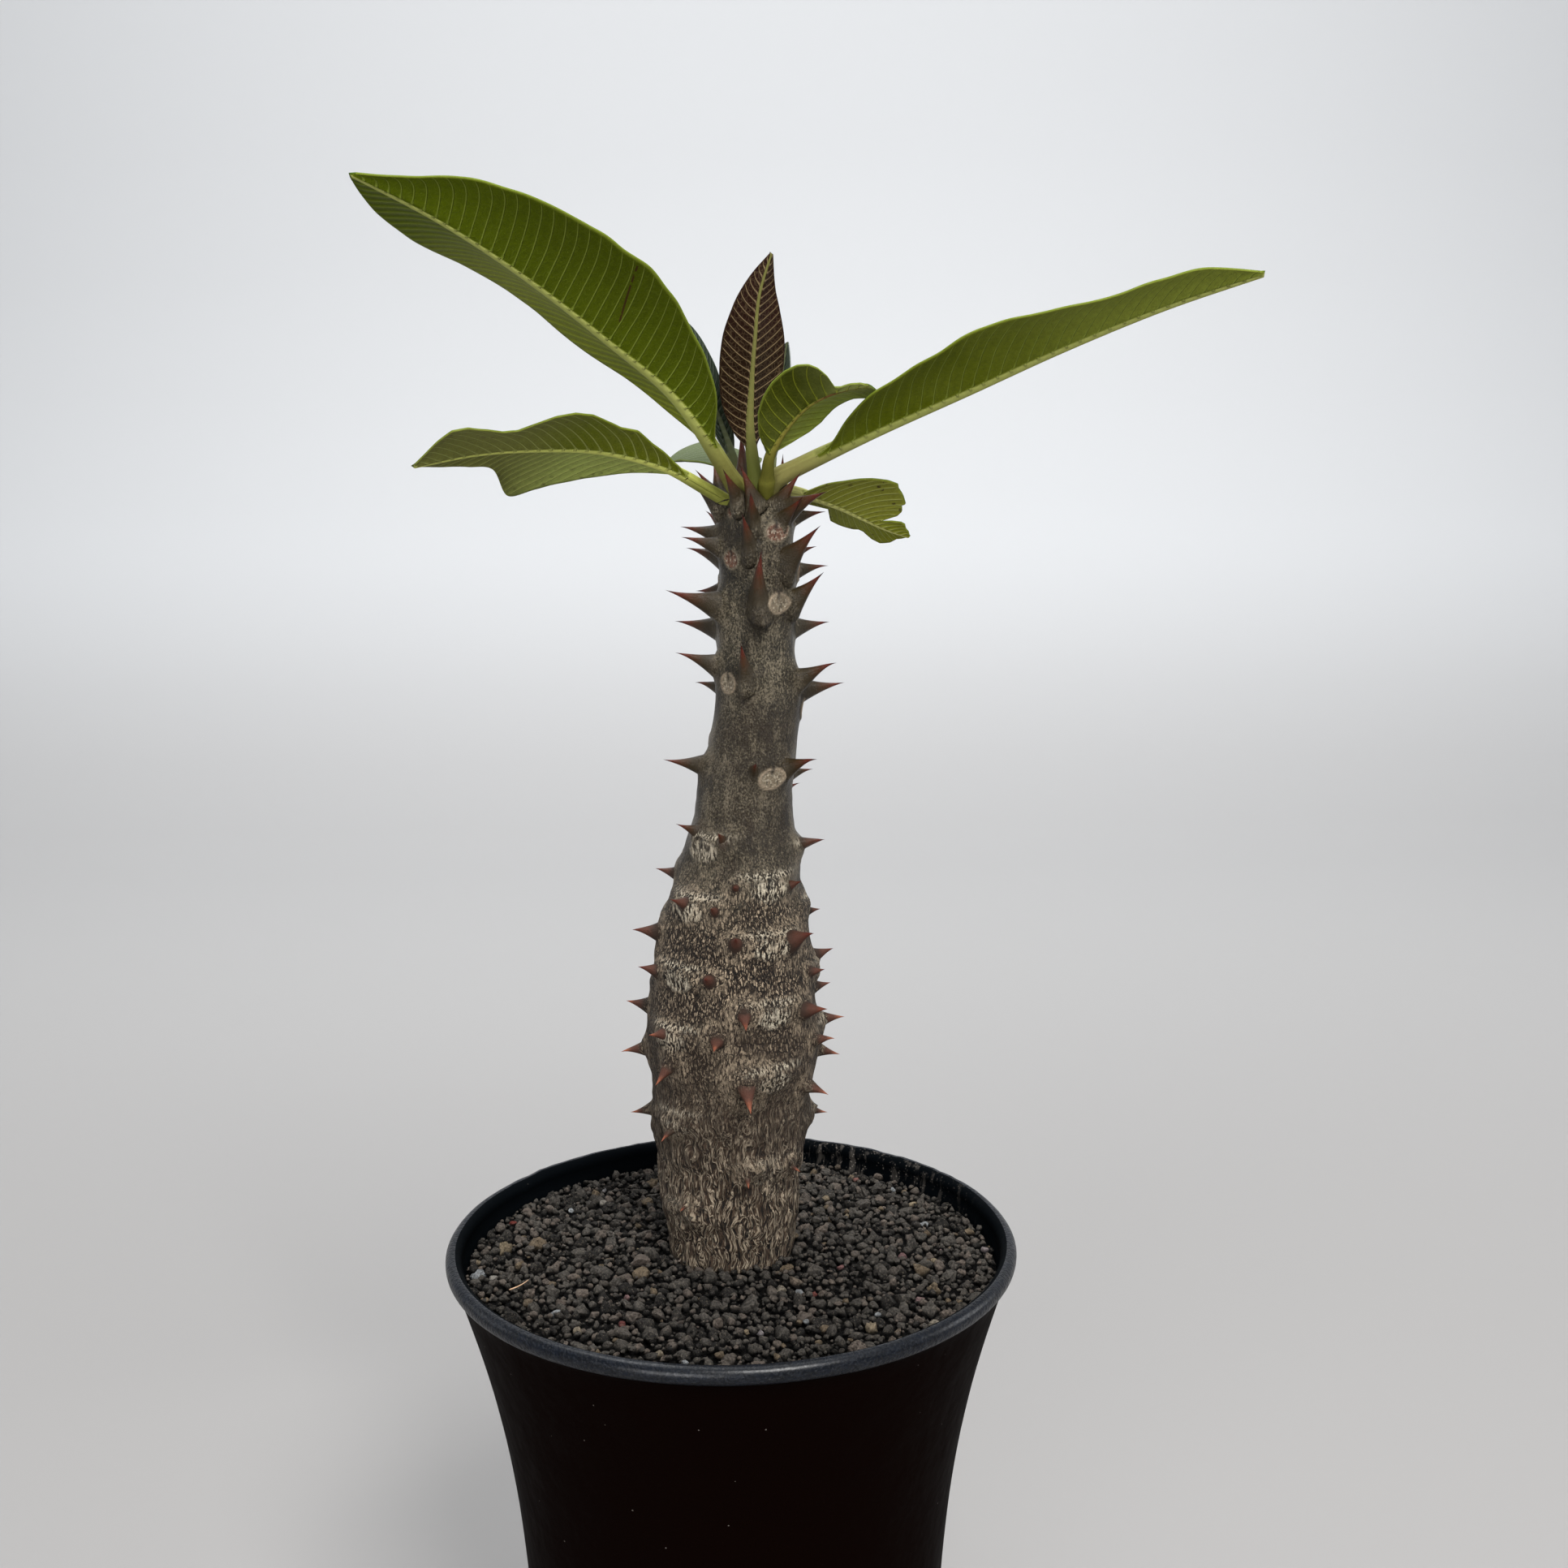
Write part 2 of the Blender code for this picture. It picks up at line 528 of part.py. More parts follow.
def build_stem_body():
    """The stem without its spines, from its flat foot to its rounded crown."""
    points = [stem_axis(STEM_FOOT)]
    for ring in range(STEM_RINGS):
        height = STEM_FOOT + (STEM_HEIGHTS[-1] - STEM_FOOT) * ring / (STEM_RINGS - 1)
        for side in range(STEM_SIDES):
            azimuth = 360 * side / STEM_SIDES
            in_bed = height < BED_STEM_Z + 0.001
            radius = STEM_RADII[0] if in_bed else stem_radius(azimuth, height)
            points.append(stem_axis(height) + outward(azimuth) * radius)
    crown = CROWN_TOP - STEM_HEIGHTS[-1]
    for share, rise in CROWN_RINGS:
        height = STEM_HEIGHTS[-1] + crown * rise
        for side in range(STEM_SIDES):
            points.append(stem_axis(height) + outward(360 * side / STEM_SIDES) * STEM_RADII[-1] * share)
    points.append(stem_axis(CROWN_TOP))
    rings = STEM_RINGS + len(CROWN_RINGS)
    faces = [(0, 1 + (side + 1) % STEM_SIDES, 1 + side) for side in range(STEM_SIDES)]
    for ring in range(rings - 1):
        low = 1 + ring * STEM_SIDES
        high = low + STEM_SIDES
        for side in range(STEM_SIDES):
            after = (side + 1) % STEM_SIDES
            faces.append((low + side, low + after, high + after, high + side))
    last = 1 + (rings - 1) * STEM_SIDES
    faces += [(last + side, last + (side + 1) % STEM_SIDES, len(points) - 1) for side in range(STEM_SIDES)]
    return add_object("stem", points, faces, "bark")


def build_spine(root, tip):
    """One spine as an object of its own: a flattened cone with a swollen foot inside the stem."""
    way = (tip - root).normalized()
    side = way.cross(Vector((0.0, 0.0, 1.0)))
    side = side.normalized() if side.length > 0.05 else Vector((1.0, 0.0, 0.0))
    up = side.cross(way)
    length = (tip - root).length
    half_height = SPINE_HALF_HEIGHT + SPINE_HALF_HEIGHT_SHARE * (length - SPINE_ROOT)
    points = []
    for share, size in SPINE_PROFILE:
        centre = root + (tip - root) * share - up * SPINE_CURVE * length * math.sin(math.pi * share)
        for k in range(SPINE_SIDES):
            angle = 2 * math.pi * k / SPINE_SIDES
            points.append(
                centre + (side * SPINE_FLATNESS * math.cos(angle) + up * math.sin(angle)) * half_height * size
            )
    points.append(tip)
    rings = len(points) // SPINE_SIDES
    faces = [tuple(reversed(range(SPINE_SIDES)))]
    for ring in range(rings - 1):
        low = ring * SPINE_SIDES
        for k in range(SPINE_SIDES):
            after = (k + 1) % SPINE_SIDES
            faces.append((low + k, low + after, low + SPINE_SIDES + after, low + SPINE_SIDES + k))
    last = (rings - 1) * SPINE_SIDES
    faces += [(last + k, last + (k + 1) % SPINE_SIDES, len(points) - 1) for k in range(SPINE_SIDES)]
    return add_object("spine", points, faces, "bark")


def radial_spine(azimuth, height, length, slope, sweep=0.0):
    """The root and the tip of a spine that leaves the stem at an azimuth and a height."""
    surface = stem_axis(height) + outward(azimuth) * stem_radius(azimuth, height)
    lift = math.radians(slope)
    way = outward(azimuth + sweep) * math.cos(lift) + Vector((0.0, 0.0, math.sin(lift)))
    return surface - way * SPINE_ROOT - outward(azimuth) * SPINE_SINK, surface + way * length


def spines():
    """Root and tip of every spine: those in view by hand, those behind by the rule of the scars."""
    placed = [(Vector(foot), Vector(tip)) for foot, tip in CROWN_SPINES]
    for azimuth, height, length, slope in SEEN_SPINES:
        placed.append(radial_spine(azimuth, height / 1000, length / 1000, slope))
    chance = random.Random(11)
    for _, scar_azimuth, scar_height in scars():
        height = scar_height + SPINE_RISE_ABOVE_SCAR
        radius = float(np.interp(height, STEM_HEIGHTS, STEM_RADII))
        for hand in (-1, 1):
            azimuth = (scar_azimuth + hand * math.degrees(SPINE_SPREAD / radius) + 180) % 360 - 180
            if abs(azimuth) < HIDDEN_AZIMUTH:
                continue
            length = float(np.interp(height, SPINE_HEIGHTS, SPINE_LENGTHS)) * chance.uniform(0.85, 1.1)
            slope = float(np.interp(height, SPINE_HEIGHTS, SPINE_SLOPES)) + chance.uniform(-10, 10)
            placed.append(radial_spine(azimuth, height, length, slope, hand * SPINE_SWEEP))
    return placed


def build_stem():
    """The stem with its spines and the short stubs on which the leaf stalks sit, all one body."""
    stem = build_stem_body()
    grown = [build_spine(root, tip) for root, tip in spines()]
    grown += [build_stub(leaf) for leaf in LEAVES]
    combine(stem, grown, "UNION")
    fill_pockets(stem)


def build_stub(leaf):
    """The cushion of the stem that carries a leaf's stalk, ended just short of it."""
    start = Vector(leaf.route[0])
    way = (Vector(leaf.route[1]) - start).normalized()
    end = start - way * GAP
    root = stem_axis(STEM_HEIGHTS[-1] - STUB_ROOT_DEPTH)
    way_in = (end - root).normalized()
    side = way.cross(way_in.cross(Vector((0.3, 0.9, 0.1)))).normalized()
    up = side.cross(way).normalized()
    points = []
    for centre, size in ((root, STUB_ROOT_SIZE), (end, STUB_END_SIZE)):
        for k in range(STUB_SIDES):
            angle = 2 * math.pi * k / STUB_SIDES
            points.append(centre + (side * math.cos(angle) + up * math.sin(angle)) * leaf.stalk_radius * size)
    faces = [tuple(range(STUB_SIDES)), tuple(reversed(range(STUB_SIDES, 2 * STUB_SIDES)))]
    for k in range(STUB_SIDES):
        after = (k + 1) % STUB_SIDES
        faces.append((k, STUB_SIDES + k, STUB_SIDES + after, after))
    stub = add_object("stub", points, faces, "bark")
    turn_outward(stub)
    return stub


def fill_pockets(made):
    """Keeps the outer skin only, which fills the tiny pockets that crossing stubs and spines enclose."""
    shape = bmesh.new()
    shape.from_mesh(made.data)
    left = set(shape.faces)
    skins = []
    while left:
        skin, edge_of_skin = set(), [left.pop()]
        while edge_of_skin:
            face = edge_of_skin.pop()
            skin.add(face)
            for edge in face.edges:
                for neighbour in edge.link_faces:
                    if neighbour in left:
                        left.remove(neighbour)
                        edge_of_skin.append(neighbour)
        skins.append(skin)
    skins.sort(key=len)
    pockets = [face for skin in skins[:-1] for face in skin]
    bmesh.ops.delete(shape, geom=pockets, context="FACES")
    shape.to_mesh(made.data)
    shape.free()


def turn_outward(made):
    """Makes the faces of a closed object point outwards."""
    shape = bmesh.new()
    shape.from_mesh(made.data)
    bmesh.ops.recalc_face_normals(shape, faces=shape.faces)
    shape.to_mesh(made.data)
    shape.free()


def leaf_frame(leaf, share):
    """The midrib's point there, with the side and upward directions of the blade."""
    step = 0.01
    centre = Vector(smooth_curve(leaf.route, share))
    ahead = Vector(smooth_curve(leaf.route, min(share + step, 1.0)))
    behind = Vector(smooth_curve(leaf.route, max(share - step, 0.0)))
    along = (ahead - behind).normalized()
    side = outward(leaf.heading + 90)
    side = (side - along * side.dot(along)).normalized()
    return centre, side, along.cross(side)


def half_row(leaf, hand, blade_share, rib):
    """One half of a cross-section: how far its points lie across and up, from the rib to the margin."""
    right = hand > 0
    widths = leaf.right_widths if right else leaf.left_widths
    lifts = leaf.right_lifts if right else leaf.left_lifts
    height, count, phase = leaf.right_wave if right else leaf.left_wave
    width = max(float(smooth_curve(widths, blade_share)), LEAST_HALF_WIDTH)
    lift = math.radians(float(smooth_curve(lifts, blade_share)))
    wave = height * math.sin(2 * math.pi * (count * blade_share + phase)) * math.sin(math.pi * blade_share)
    row = []
    for reach in (0.0, 0.5, 1.0):
        across = (rib * RIB_EDGE + width * reach) * math.cos(lift)
        row.append((hand * across, width * reach * math.sin(lift) + wave * reach**2, width * reach))
    return row


def rib_radius(leaf, share, blade_share):
    """Half the width of the midrib, which thins quickly out of the stalk and then slowly to the tip."""
    out_of_stalk = min(share * RIB_THINNING, 1.0) ** 0.7
    radius = leaf.stalk_radius + (leaf.rib_radius - leaf.stalk_radius) * out_of_stalk
    return radius * (1.0 - RIB_TAPER * blade_share)


def build_leaf(leaf):
    """One leaf: a closed loft of cross-sections along the midrib, from the stalk's foot to the tip."""
    thick = BLADE_THICKNESS / 2
    sections = []
    for station in range(STALK_STATIONS + BLADE_STATIONS):
        blade_share = max(station - STALK_STATIONS, 0) / (BLADE_STATIONS - 1)
        in_stalk = station < STALK_STATIONS
        if in_stalk:
            share = leaf.stalk_share * station / STALK_STATIONS
        else:
            share = leaf.stalk_share + (1 - leaf.stalk_share) * blade_share
        centre, side, up = leaf_frame(leaf, share)
        along = side.cross(up)
        rib = rib_radius(leaf, share, blade_share)
        left = half_row(leaf, -1, blade_share, rib)
        row = left[::-1] + [(0.0, 0.0, 0.0)] + half_row(leaf, 1, blade_share, rib)
        middle = len(row) // 2
        upper, lower = [], []
        for index, (across, high, reach) in enumerate(row):
            place = centre + side * across + up * high + along * leaf.slant * reach
            at_rib = index == middle
            upper.append(place + up * (rib * RIB_RISE if at_rib else thick))
            lower.append(place - up * (max(rib, thick) if at_rib else thick))
        sections.append(upper + lower[::-1])
    count = len(sections[0])
    points = [point for section in sections for point in section]
    faces = [tuple(range(count)), tuple(reversed(range(len(points) - count, len(points))))]
    half = count // 2
    for station in range(len(sections) - 1):
        low = station * count
        high = low + count
        for k in range(count):
            after = (k + 1) % count
            a, b, c, d = low + k, high + k, high + after, low + after
            faces += [(a, b, c), (a, c, d)] if k < half else [(a, b, d), (b, c, d)]
    made = add_object(leaf.name, points, faces, leaf.slot)
    turn_outward(made)
    return made


def main():
    """Builds the pot, the gravel, the stem and the leaves."""
    clear_scene()
    build_pot()
    build_gravel()
    build_stem()
    for leaf in LEAVES:
        build_leaf(leaf)


if __name__ == "__main__":
    main()
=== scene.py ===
"""Dresses a young potted pachypodium: a black pot, dark gravel, a spiny swollen stem and nine leaves.

Metres, +Z up, the pot's axis on the origin and its underside on z = 0; +X is right and -Y is the front.
The tables that were measured are in millimetres. Azimuths are in degrees, 0 at the front and
growing to the right.
"""

import logging
import math
import random
from collections.abc import Iterable, Sequence
from dataclasses import dataclass, replace
from enum import Enum

import bmesh
import bpy
import numpy as np
from mathutils import Matrix, Vector, noise


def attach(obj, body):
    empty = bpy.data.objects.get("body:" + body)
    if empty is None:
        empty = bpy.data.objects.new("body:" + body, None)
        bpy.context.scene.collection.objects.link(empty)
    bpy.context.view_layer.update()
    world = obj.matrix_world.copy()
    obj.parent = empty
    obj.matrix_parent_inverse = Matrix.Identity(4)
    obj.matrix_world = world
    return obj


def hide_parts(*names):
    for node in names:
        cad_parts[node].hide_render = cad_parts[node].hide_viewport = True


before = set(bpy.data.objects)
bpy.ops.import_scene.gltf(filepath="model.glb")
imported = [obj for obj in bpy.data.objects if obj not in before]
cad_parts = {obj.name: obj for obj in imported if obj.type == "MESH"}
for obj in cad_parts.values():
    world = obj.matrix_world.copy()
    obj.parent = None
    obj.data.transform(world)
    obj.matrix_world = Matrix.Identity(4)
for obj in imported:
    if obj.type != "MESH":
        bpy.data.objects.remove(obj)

log = logging.getLogger("potted_pachypodium")

Colour = tuple[float, float, float]
Array = np.ndarray
Material = bpy.types.Material
Socket = bpy.types.NodeSocket
Shape = bmesh.types.BMesh
BLACK = (0.0, 0.0, 0.0)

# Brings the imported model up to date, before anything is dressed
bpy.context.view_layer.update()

# Shared sizes, as the CAD source has them
RIM_RADIUS = 0.060
RIM_INNER_RADIUS = 0.0557
WALL_HEIGHTS = (0.0, 0.020, 0.040, 0.057, 0.072, 0.086, 0.098, 0.108, 0.1148)
WALL_RADII = (0.0433, 0.0437, 0.0445, 0.0458, 0.0476, 0.0502, 0.0530, 0.0560, 0.0581)
POT_WALL = 0.0016
POT_FLOOR = 0.0024
BED_EDGE_Z = 0.1138
BED_STEM_Z = 0.1176
BED_FALL = 0.8
STEM_BED_RADIUS = 0.0130

# Leaf scars climb the stem two turns in five: number and height
FIRST_AZIMUTH = 27.0
TURN = 144.0
SCAR_HEIGHTS = (
    (-8, 272.4), (-5, 267.9), (-3, 262.6), (0, 254.1), (2, 238.2), (5, 219.4), (7, 204.7), (10, 197.2),
    (12, 192.9), (15, 185.9), (17, 179), (20, 172), (22, 166.8), (25, 158.7), (27, 148.5), (30, 138.3),
    (32, 128.1),
)

# Stem stations: height, lean of the axis to the right, and radius
STEM_STATIONS = (
    (108.5, -0.2, 12.8), (116, -0.2, 13), (122, -0.2, 13.3), (127, -0.2, 14.2), (132, -0.3, 14.6),
    (137, -0.1, 14.9), (142, 0, 15.7), (147, 0.1, 16.1), (151, 0.3, 16.1), (156, 0.6, 16.9),
    (162, 0.8, 17.6), (166, 0.8, 17.6), (172, 0.8, 17.1), (177, 1.2, 16.5), (183, 1.2, 15.8),
    (188, 1.4, 15.1), (193, 1.9, 13.7), (198, 2.3, 12.4), (204, 2.8, 11), (210, 3.4, 10),
    (216, 3.8, 9.5), (223, 5.2, 8.9), (230, 6, 8.6), (238, 6.5, 8), (246, 6.3, 7.4),
    (254, 6.7, 7.2), (262, 6.8, 7.1), (270, 6.5, 6.7),
)

# Spines of the side in view: azimuth, height, length, and slope in degrees
SEEN_SPINES = (
    (-30, 274.3, 8.5, 46), (-85, 273.5, 8.5, 36), (-106, 274, 8, 48), (-6, 270, 8.5, 46),
    (38, 270.3, 8.5, 34), (47, 272.8, 11.5, 16), (-14, 265, 9, 50), (-80, 265.5, 8, 10),
    (-100, 267.8, 8.2, 6), (43, 262.5, 12, 36), (105, 271, 7.2, 3), (102, 260.5, 6.8, 1),
    (124, 263.2, 7, 8), (-124, 262.6, 10, 8), (2, 254, 12.5, 61), (55, 254.5, 9.7, 37),
    (-70, 254.2, 12, 13), (-128, 257, 8.5, -12), (-118, 249, 11, 1), (118, 249, 9, -1),
    (-80, 242, 8.6, 14), (-15, 239.5, 9, 56), (-126, 236.2, 7, 2), (66, 239, 9.1, 21),
    (107, 236.5, 10, 1), (-84, 221.7, 8.3, 5), (-106, 220.6, 7.4, 2), (4, 221.3, 5.5, 26),
    (47, 221.8, 8.3, 14), (113, 218.7, 4.8, 0), (-60, 208.6, 5.1, 20), (-20, 207.2, 4.4, 34),
    (80, 205, 5.7, 7), (104, 204, 6.2, 2), (-104, 198, 4.8, 6), (-46, 194.6, 5.2, 18),
    (-4, 198.4, 3.2, 10), (47, 197.8, 4.2, 20), (-18, 193.7, 3.6, 22), (-82, 187, 5.4, 4),
    (100, 189.7, 2.6, 0), (0, 187.4, 4.6, 30), (44, 187.1, 7, 21), (102, 179.8, 4.5, 14),
    (-68, 179.8, 4.5, 15), (-17, 180.2, 4.2, 18), (65, 179.4, 3.4, 12), (105, 173, 3.6, 3),
    (-95, 170.3, 4.5, 8), (6, 174.3, 5.2, -34), (53, 172.6, 6, 8), (98, 166.5, 5.4, -2),
    (-48, 168.5, 4.9, 5), (-10, 169, 5.2, -16), (66, 165, 4.4, 8), (-92, 161.4, 5.5, -13),
    (99, 160, 5.2, -23), (-45, 162.5, 5.8, -44), (8, 160.3, 7.8, -44), (60, 156, 5.2, -19),
    (-95, 148, 4.8, -17), (98, 147, 4.2, -21), (-46, 148.5, 4.2, -40), (11, 139.8, 3.6, -48),
    (49, 139.6, 3.2, -24), (-36, 132.2, 2.6, -30),
)

# Spines that stand among the leaf stalks: foot and tip
CROWN_SPINES = (
    ((4.2, 0.3, 274.2), (3.5, -1.2, 287.8)), ((6.6, -6, 273.5), (3, -9.8, 281.2)),
    ((0, -1.2, 274.5), (-2, 0.4, 282.2)), ((10, -4.4, 273.2), (15.2, -8.6, 279.7)),
    ((10.4, 0, 274.8), (11.8, -0.4, 283)),
)

# What spines behind the stem are like at a height: height, length, and slope in degrees
HIDDEN_SPINES = (
    (120, 3, -20), (150, 4.8, -18), (175, 5, 2), (200, 5.5, 10), (225, 8, 8), (250, 10, 14),
    (275, 10.5, 34),
)


def tint(red: float, green: float, blue: float) -> Colour:
    """Turns a display colour of 0 to 255 into the linear colour that shaders take.

    Args:
        red: Display red.
        green: Display green.
        blue: Display blue.

    Returns:
        The linear colour.
    """
    shares = [value / 255 for value in (red, green, blue)]
    return tuple(share / 12.92 if share <= 0.04045 else ((share + 0.055) / 1.055) ** 2.4 for share in shares)


def blend(first: Colour, second: Colour, share: float) -> Colour:
    """A colour between two, with that share of the second."""
    return tuple(one + (other - one) * share for one, other in zip(first, second))


def fade(low: float, high: float, value: float | Array) -> float | Array:
    """Goes evenly from 0 at low to 1 at high, also where low is the larger."""
    return np.clip((value - low) / (high - low), 0.0, 1.0)


def smooth_step(low: float, high: float, value: float | Array) -> float | Array:
    """Goes softly from 0 at low to 1 at high, also where low is the larger."""
    share = fade(low, high, value)
    return share * share * (3 - 2 * share)


def bell(distance: float | Array, width: float) -> float | Array:
    """A soft hump, 1 in its middle and about a third at its width."""
    return np.exp(-((distance / width) ** 2))


def smooth_path(stations: Sequence, shares: Array) -> Array:
    """Follows a smooth curve through evenly spaced stations.

    Args:
        stations: Numbers or points, one for each station.
        shares: Places along the curve, from 0 to 1.

    Returns:
        The curve's numbers or points at those places.
    """
    values = np.asarray(stations, float)
    last = len(values) - 1
    place = np.clip(shares, 0.0, 1.0) * last
    index = np.minimum(place.astype(int), last - 1)
    padded = np.concatenate([[2 * values[0] - values[1]], values, [2 * values[-1] - values[-2]]])
    before, first, second, after = (padded[index + k] for k in range(4))
    part = place - index
    if values.ndim > 1:
        part = part[:, None]
    return 0.5 * (
        2 * first
        + (second - before) * part
        + (2 * before - 5 * first + 4 * second - after) * part**2
        + (3 * first - before - 3 * second + after) * part**3
    )


def relief(points: Array, size: Sequence[float], seed: float) -> Array:
    """Soft noise at points.

    Args:
        points: Places in metres, one row each.
        size: The noise's grain along X, Y and Z in metres.
        seed: An offset that picks another pattern.

    Returns:
        A number from about -1 to 1 for each place.
    """
    scaled = points / np.asarray(size) + seed
    return np.array([noise.noise(Vector(row)) for row in scaled.tolist()])


def unit(vectors: Array) -> Array:
    """The same directions with a length of 1."""
    return vectors / np.linalg.norm(vectors, axis=-1, keepdims=True)


def outward(azimuth: float) -> Array:
    """The level direction of an azimuth."""
    angle = math.radians(azimuth)
    return np.array((math.sin(angle), -math.cos(angle), 0.0))


def centred(azimuth: float | Array) -> float | Array:
    """The same azimuth between -180 and 180."""
    return (azimuth + 180) % 360 - 180


class Value:
    """A number in a material, which Python's operators combine by adding Math nodes."""

    def __init__(self, paint: "Paint", socket: Socket) -> None:
        """Wraps one output socket of a material."""
        self.paint = paint
        self.socket = socket

    def maths(self, operation: str, *terms: "Value | float") -> "Value":
        """Adds one Math node.

        Args:
            operation: Blender's name of the operation.
            terms: The numbers that it works on.

        Returns:
            The node's result.
        """
        made = self.paint.node("ShaderNodeMath", {"operation": operation}, dict(enumerate(terms)))
        return Value(self.paint, made.outputs[0])

    def __add__(self, other: "Value | float") -> "Value":
        """The sum."""
        return self.maths("ADD", self, other)

    def __radd__(self, other: float) -> "Value":
        """The sum with a number first."""
        return self.maths("ADD", other, self)

    def __sub__(self, other: "Value | float") -> "Value":
        """The difference."""
        return self.maths("SUBTRACT", self, other)

    def __rsub__(self, other: float) -> "Value":
        """The difference from a number."""
        return self.maths("SUBTRACT", other, self)

    def __mul__(self, other: "Value | float") -> "Value":
        """The product."""
        return self.maths("MULTIPLY", self, other)

    def __rmul__(self, other: float) -> "Value":
        """The product with a number first."""
        return self.maths("MULTIPLY", other, self)

    def __truediv__(self, other: "Value | float") -> "Value":
        """The quotient."""
        return self.maths("DIVIDE", self, other)

    def __pow__(self, other: float) -> "Value":
        """The power."""
        return self.maths("POWER", self, other)

    def size(self) -> "Value":
        """The number without its sign."""
        return self.maths("ABSOLUTE", self)

    def part(self) -> "Value":
        """What is left of the number above a whole one."""
        return self.maths("FRACT", self)

    def top(self, other: "Value | float") -> "Value":
        """The larger of two numbers."""
        return self.maths("MAXIMUM", self, other)

    def step(self, low: float, high: float) -> "Value":
        """Rises softly from 0 at low to 1 at high, or falls where low is the larger.

        Args:
            low: Where the step starts.
            high: Where it ends.

        Returns:
            The share.
        """
        ends = (low, high, 0.0, 1.0) if low < high else (high, low, 1.0, 0.0)
        names = ("From Min", "From Max", "To Min", "To Max")
        inputs = {"Value": self, **dict(zip(names, ends))}
        made = self.paint.node("ShaderNodeMapRange", {"interpolation_type": "SMOOTHSTEP"}, inputs)
        return Value(self.paint, made.outputs[0])


class Paint:
    """One material while it is made: its Principled shader and the nodes that feed it."""

    def __init__(self, name: str) -> None:
        """Makes an empty material.

        Args:
            name: The material's name.
        """
        self.material = bpy.data.materials.new(name)
        self.material.use_nodes = True
        self.shader = self.material.node_tree.nodes["Principled BSDF"]

    def node(self, kind: str, settings: dict, inputs: dict) -> bpy.types.Node:
        """Adds one node.

        Args:
            kind: Blender's type of the node.
            settings: Its properties, or "stops" for a ramp's list of place and colour.
            inputs: What feeds its sockets, by name or number.

        Returns:
            The node.
        """
        made = self.material.node_tree.nodes.new(kind)
        for key, value in settings.items():
            if key == "stops":
                for place, colour in value[2:]:
                    made.color_ramp.elements.new(place)
                for element, (place, colour) in zip(made.color_ramp.elements, sorted(value)):
                    element.position, element.color = place, (*colour, 1.0)
            else:
                setattr(made, key, value)
        for key, value in inputs.items():
            self.feed(made.inputs[key], value)
        return made

    def feed(self, socket: Socket, value: object) -> None:
        """Links a value to a socket, or sets the socket to it.

        Args:
            socket: The input.
            value: A Value, a socket, a number, a vector or a colour.
        """
        if isinstance(value, Value):
            value = value.socket
        if isinstance(value, Socket):
            self.material.node_tree.links.new(value, socket)
        elif socket.type == "RGBA":
            socket.default_value = (*value, 1.0)
        else:
            socket.default_value = value

    def vector(self, operation: str, inputs: dict) -> Socket:
        """Adds one Vector Math node and gives its result."""
        return self.node("ShaderNodeVectorMath", {"operation": operation}, inputs).outputs[0]

    def number(self, name: str) -> Value:
        """A number that the piece's vertices carry."""
        return Value(self, self.node("ShaderNodeAttribute", {"attribute_name": name}, {}).outputs["Fac"])

    def place(self, across: float = 1.0, upward: float = 1.0) -> Socket:
        """The place on the object in millimetres.

        Args:
            across: Divides X and Y, which makes a pattern wider.
            upward: Divides Z, which makes it taller.

        Returns:
            The place as a vector.
        """
        found = self.node("ShaderNodeTexCoord", {}, {}).outputs["Object"]
        return self.scale(found, across / 1000, upward / 1000)

    def scale(self, vector: Socket, across: float, upward: float) -> Socket:
        """Divides a place's X and Y by one size and its Z by another."""
        return self.vector("MULTIPLY", {0: vector, 1: (1 / across, 1 / across, 1 / upward)})

    def height(self, axis: str = "Z") -> Value:
        """The height on the object in millimetres, or its place along another axis."""
        return Value(self, self.node("ShaderNodeSeparateXYZ", {}, {0: self.place()}).outputs[axis])

    def flat(self, along: Value, across: Value) -> Socket:
        """A vector from two numbers."""
        return self.node("ShaderNodeCombineXYZ", {}, {"X": along, "Y": across}).outputs[0]

    def bend(self, vector: Socket, scale: float, amount: float) -> Socket:
        """Shifts a vector by noise, which makes a pattern on it irregular.

        Args:
            vector: The place.
            scale: The noise's scale.
            amount: How far it shifts.

        Returns:
            The shifted place.
        """
        cloud = self.node("ShaderNodeTexNoise", {}, {"Vector": vector, "Scale": scale, "Detail": 1.0})
        middled = self.vector("SUBTRACT", {0: cloud.outputs["Color"], 1: (0.5, 0.5, 0.5)})
        return self.vector("ADD", {0: vector, 1: self.vector("SCALE", {0: middled, "Scale": amount})})

    def cloud(self, vector: Socket, scale: float, detail: float = 2.0, rough: float = 0.5) -> Value:
        """Soft noise from 0 to 1.

        Args:
            vector: The place.
            scale: How many blobs there are to a unit.
            detail: How many finer layers it has.
            rough: How strong those are.

        Returns:
            The noise.
        """
        inputs = {"Vector": vector, "Scale": scale, "Detail": detail, "Roughness": rough}
        return Value(self, self.node("ShaderNodeTexNoise", {}, inputs).outputs[0])

    def cells(self, vector: Socket, scale: float, to_edge: bool = False) -> Value:
        """Distance within a pattern of cells.

        Args:
            vector: The place.
            scale: How many cells there are to a unit.
            to_edge: Measures to the cell's edge instead of its centre.

        Returns:
            The distance.
        """
        feature = "DISTANCE_TO_EDGE" if to_edge else "F1"
        made = self.node("ShaderNodeTexVoronoi", {"feature": feature}, {"Vector": vector, "Scale": scale})
        return Value(self, made.outputs["Distance"])

    def mix(self, share: "Value | float", first: object, second: object) -> Socket:
        """Mixes two colours or sockets, with that share of the second."""
        settings = {"data_type": "RGBA", "clamp_factor": True}
        return self.node("ShaderNodeMix", settings, {0: share, 6: first, 7: second}).outputs[2]

    def dim(self, share: float, colour: Socket) -> Socket:
        """Darkens a colour by that share."""
        return self.mix(share, colour, BLACK)

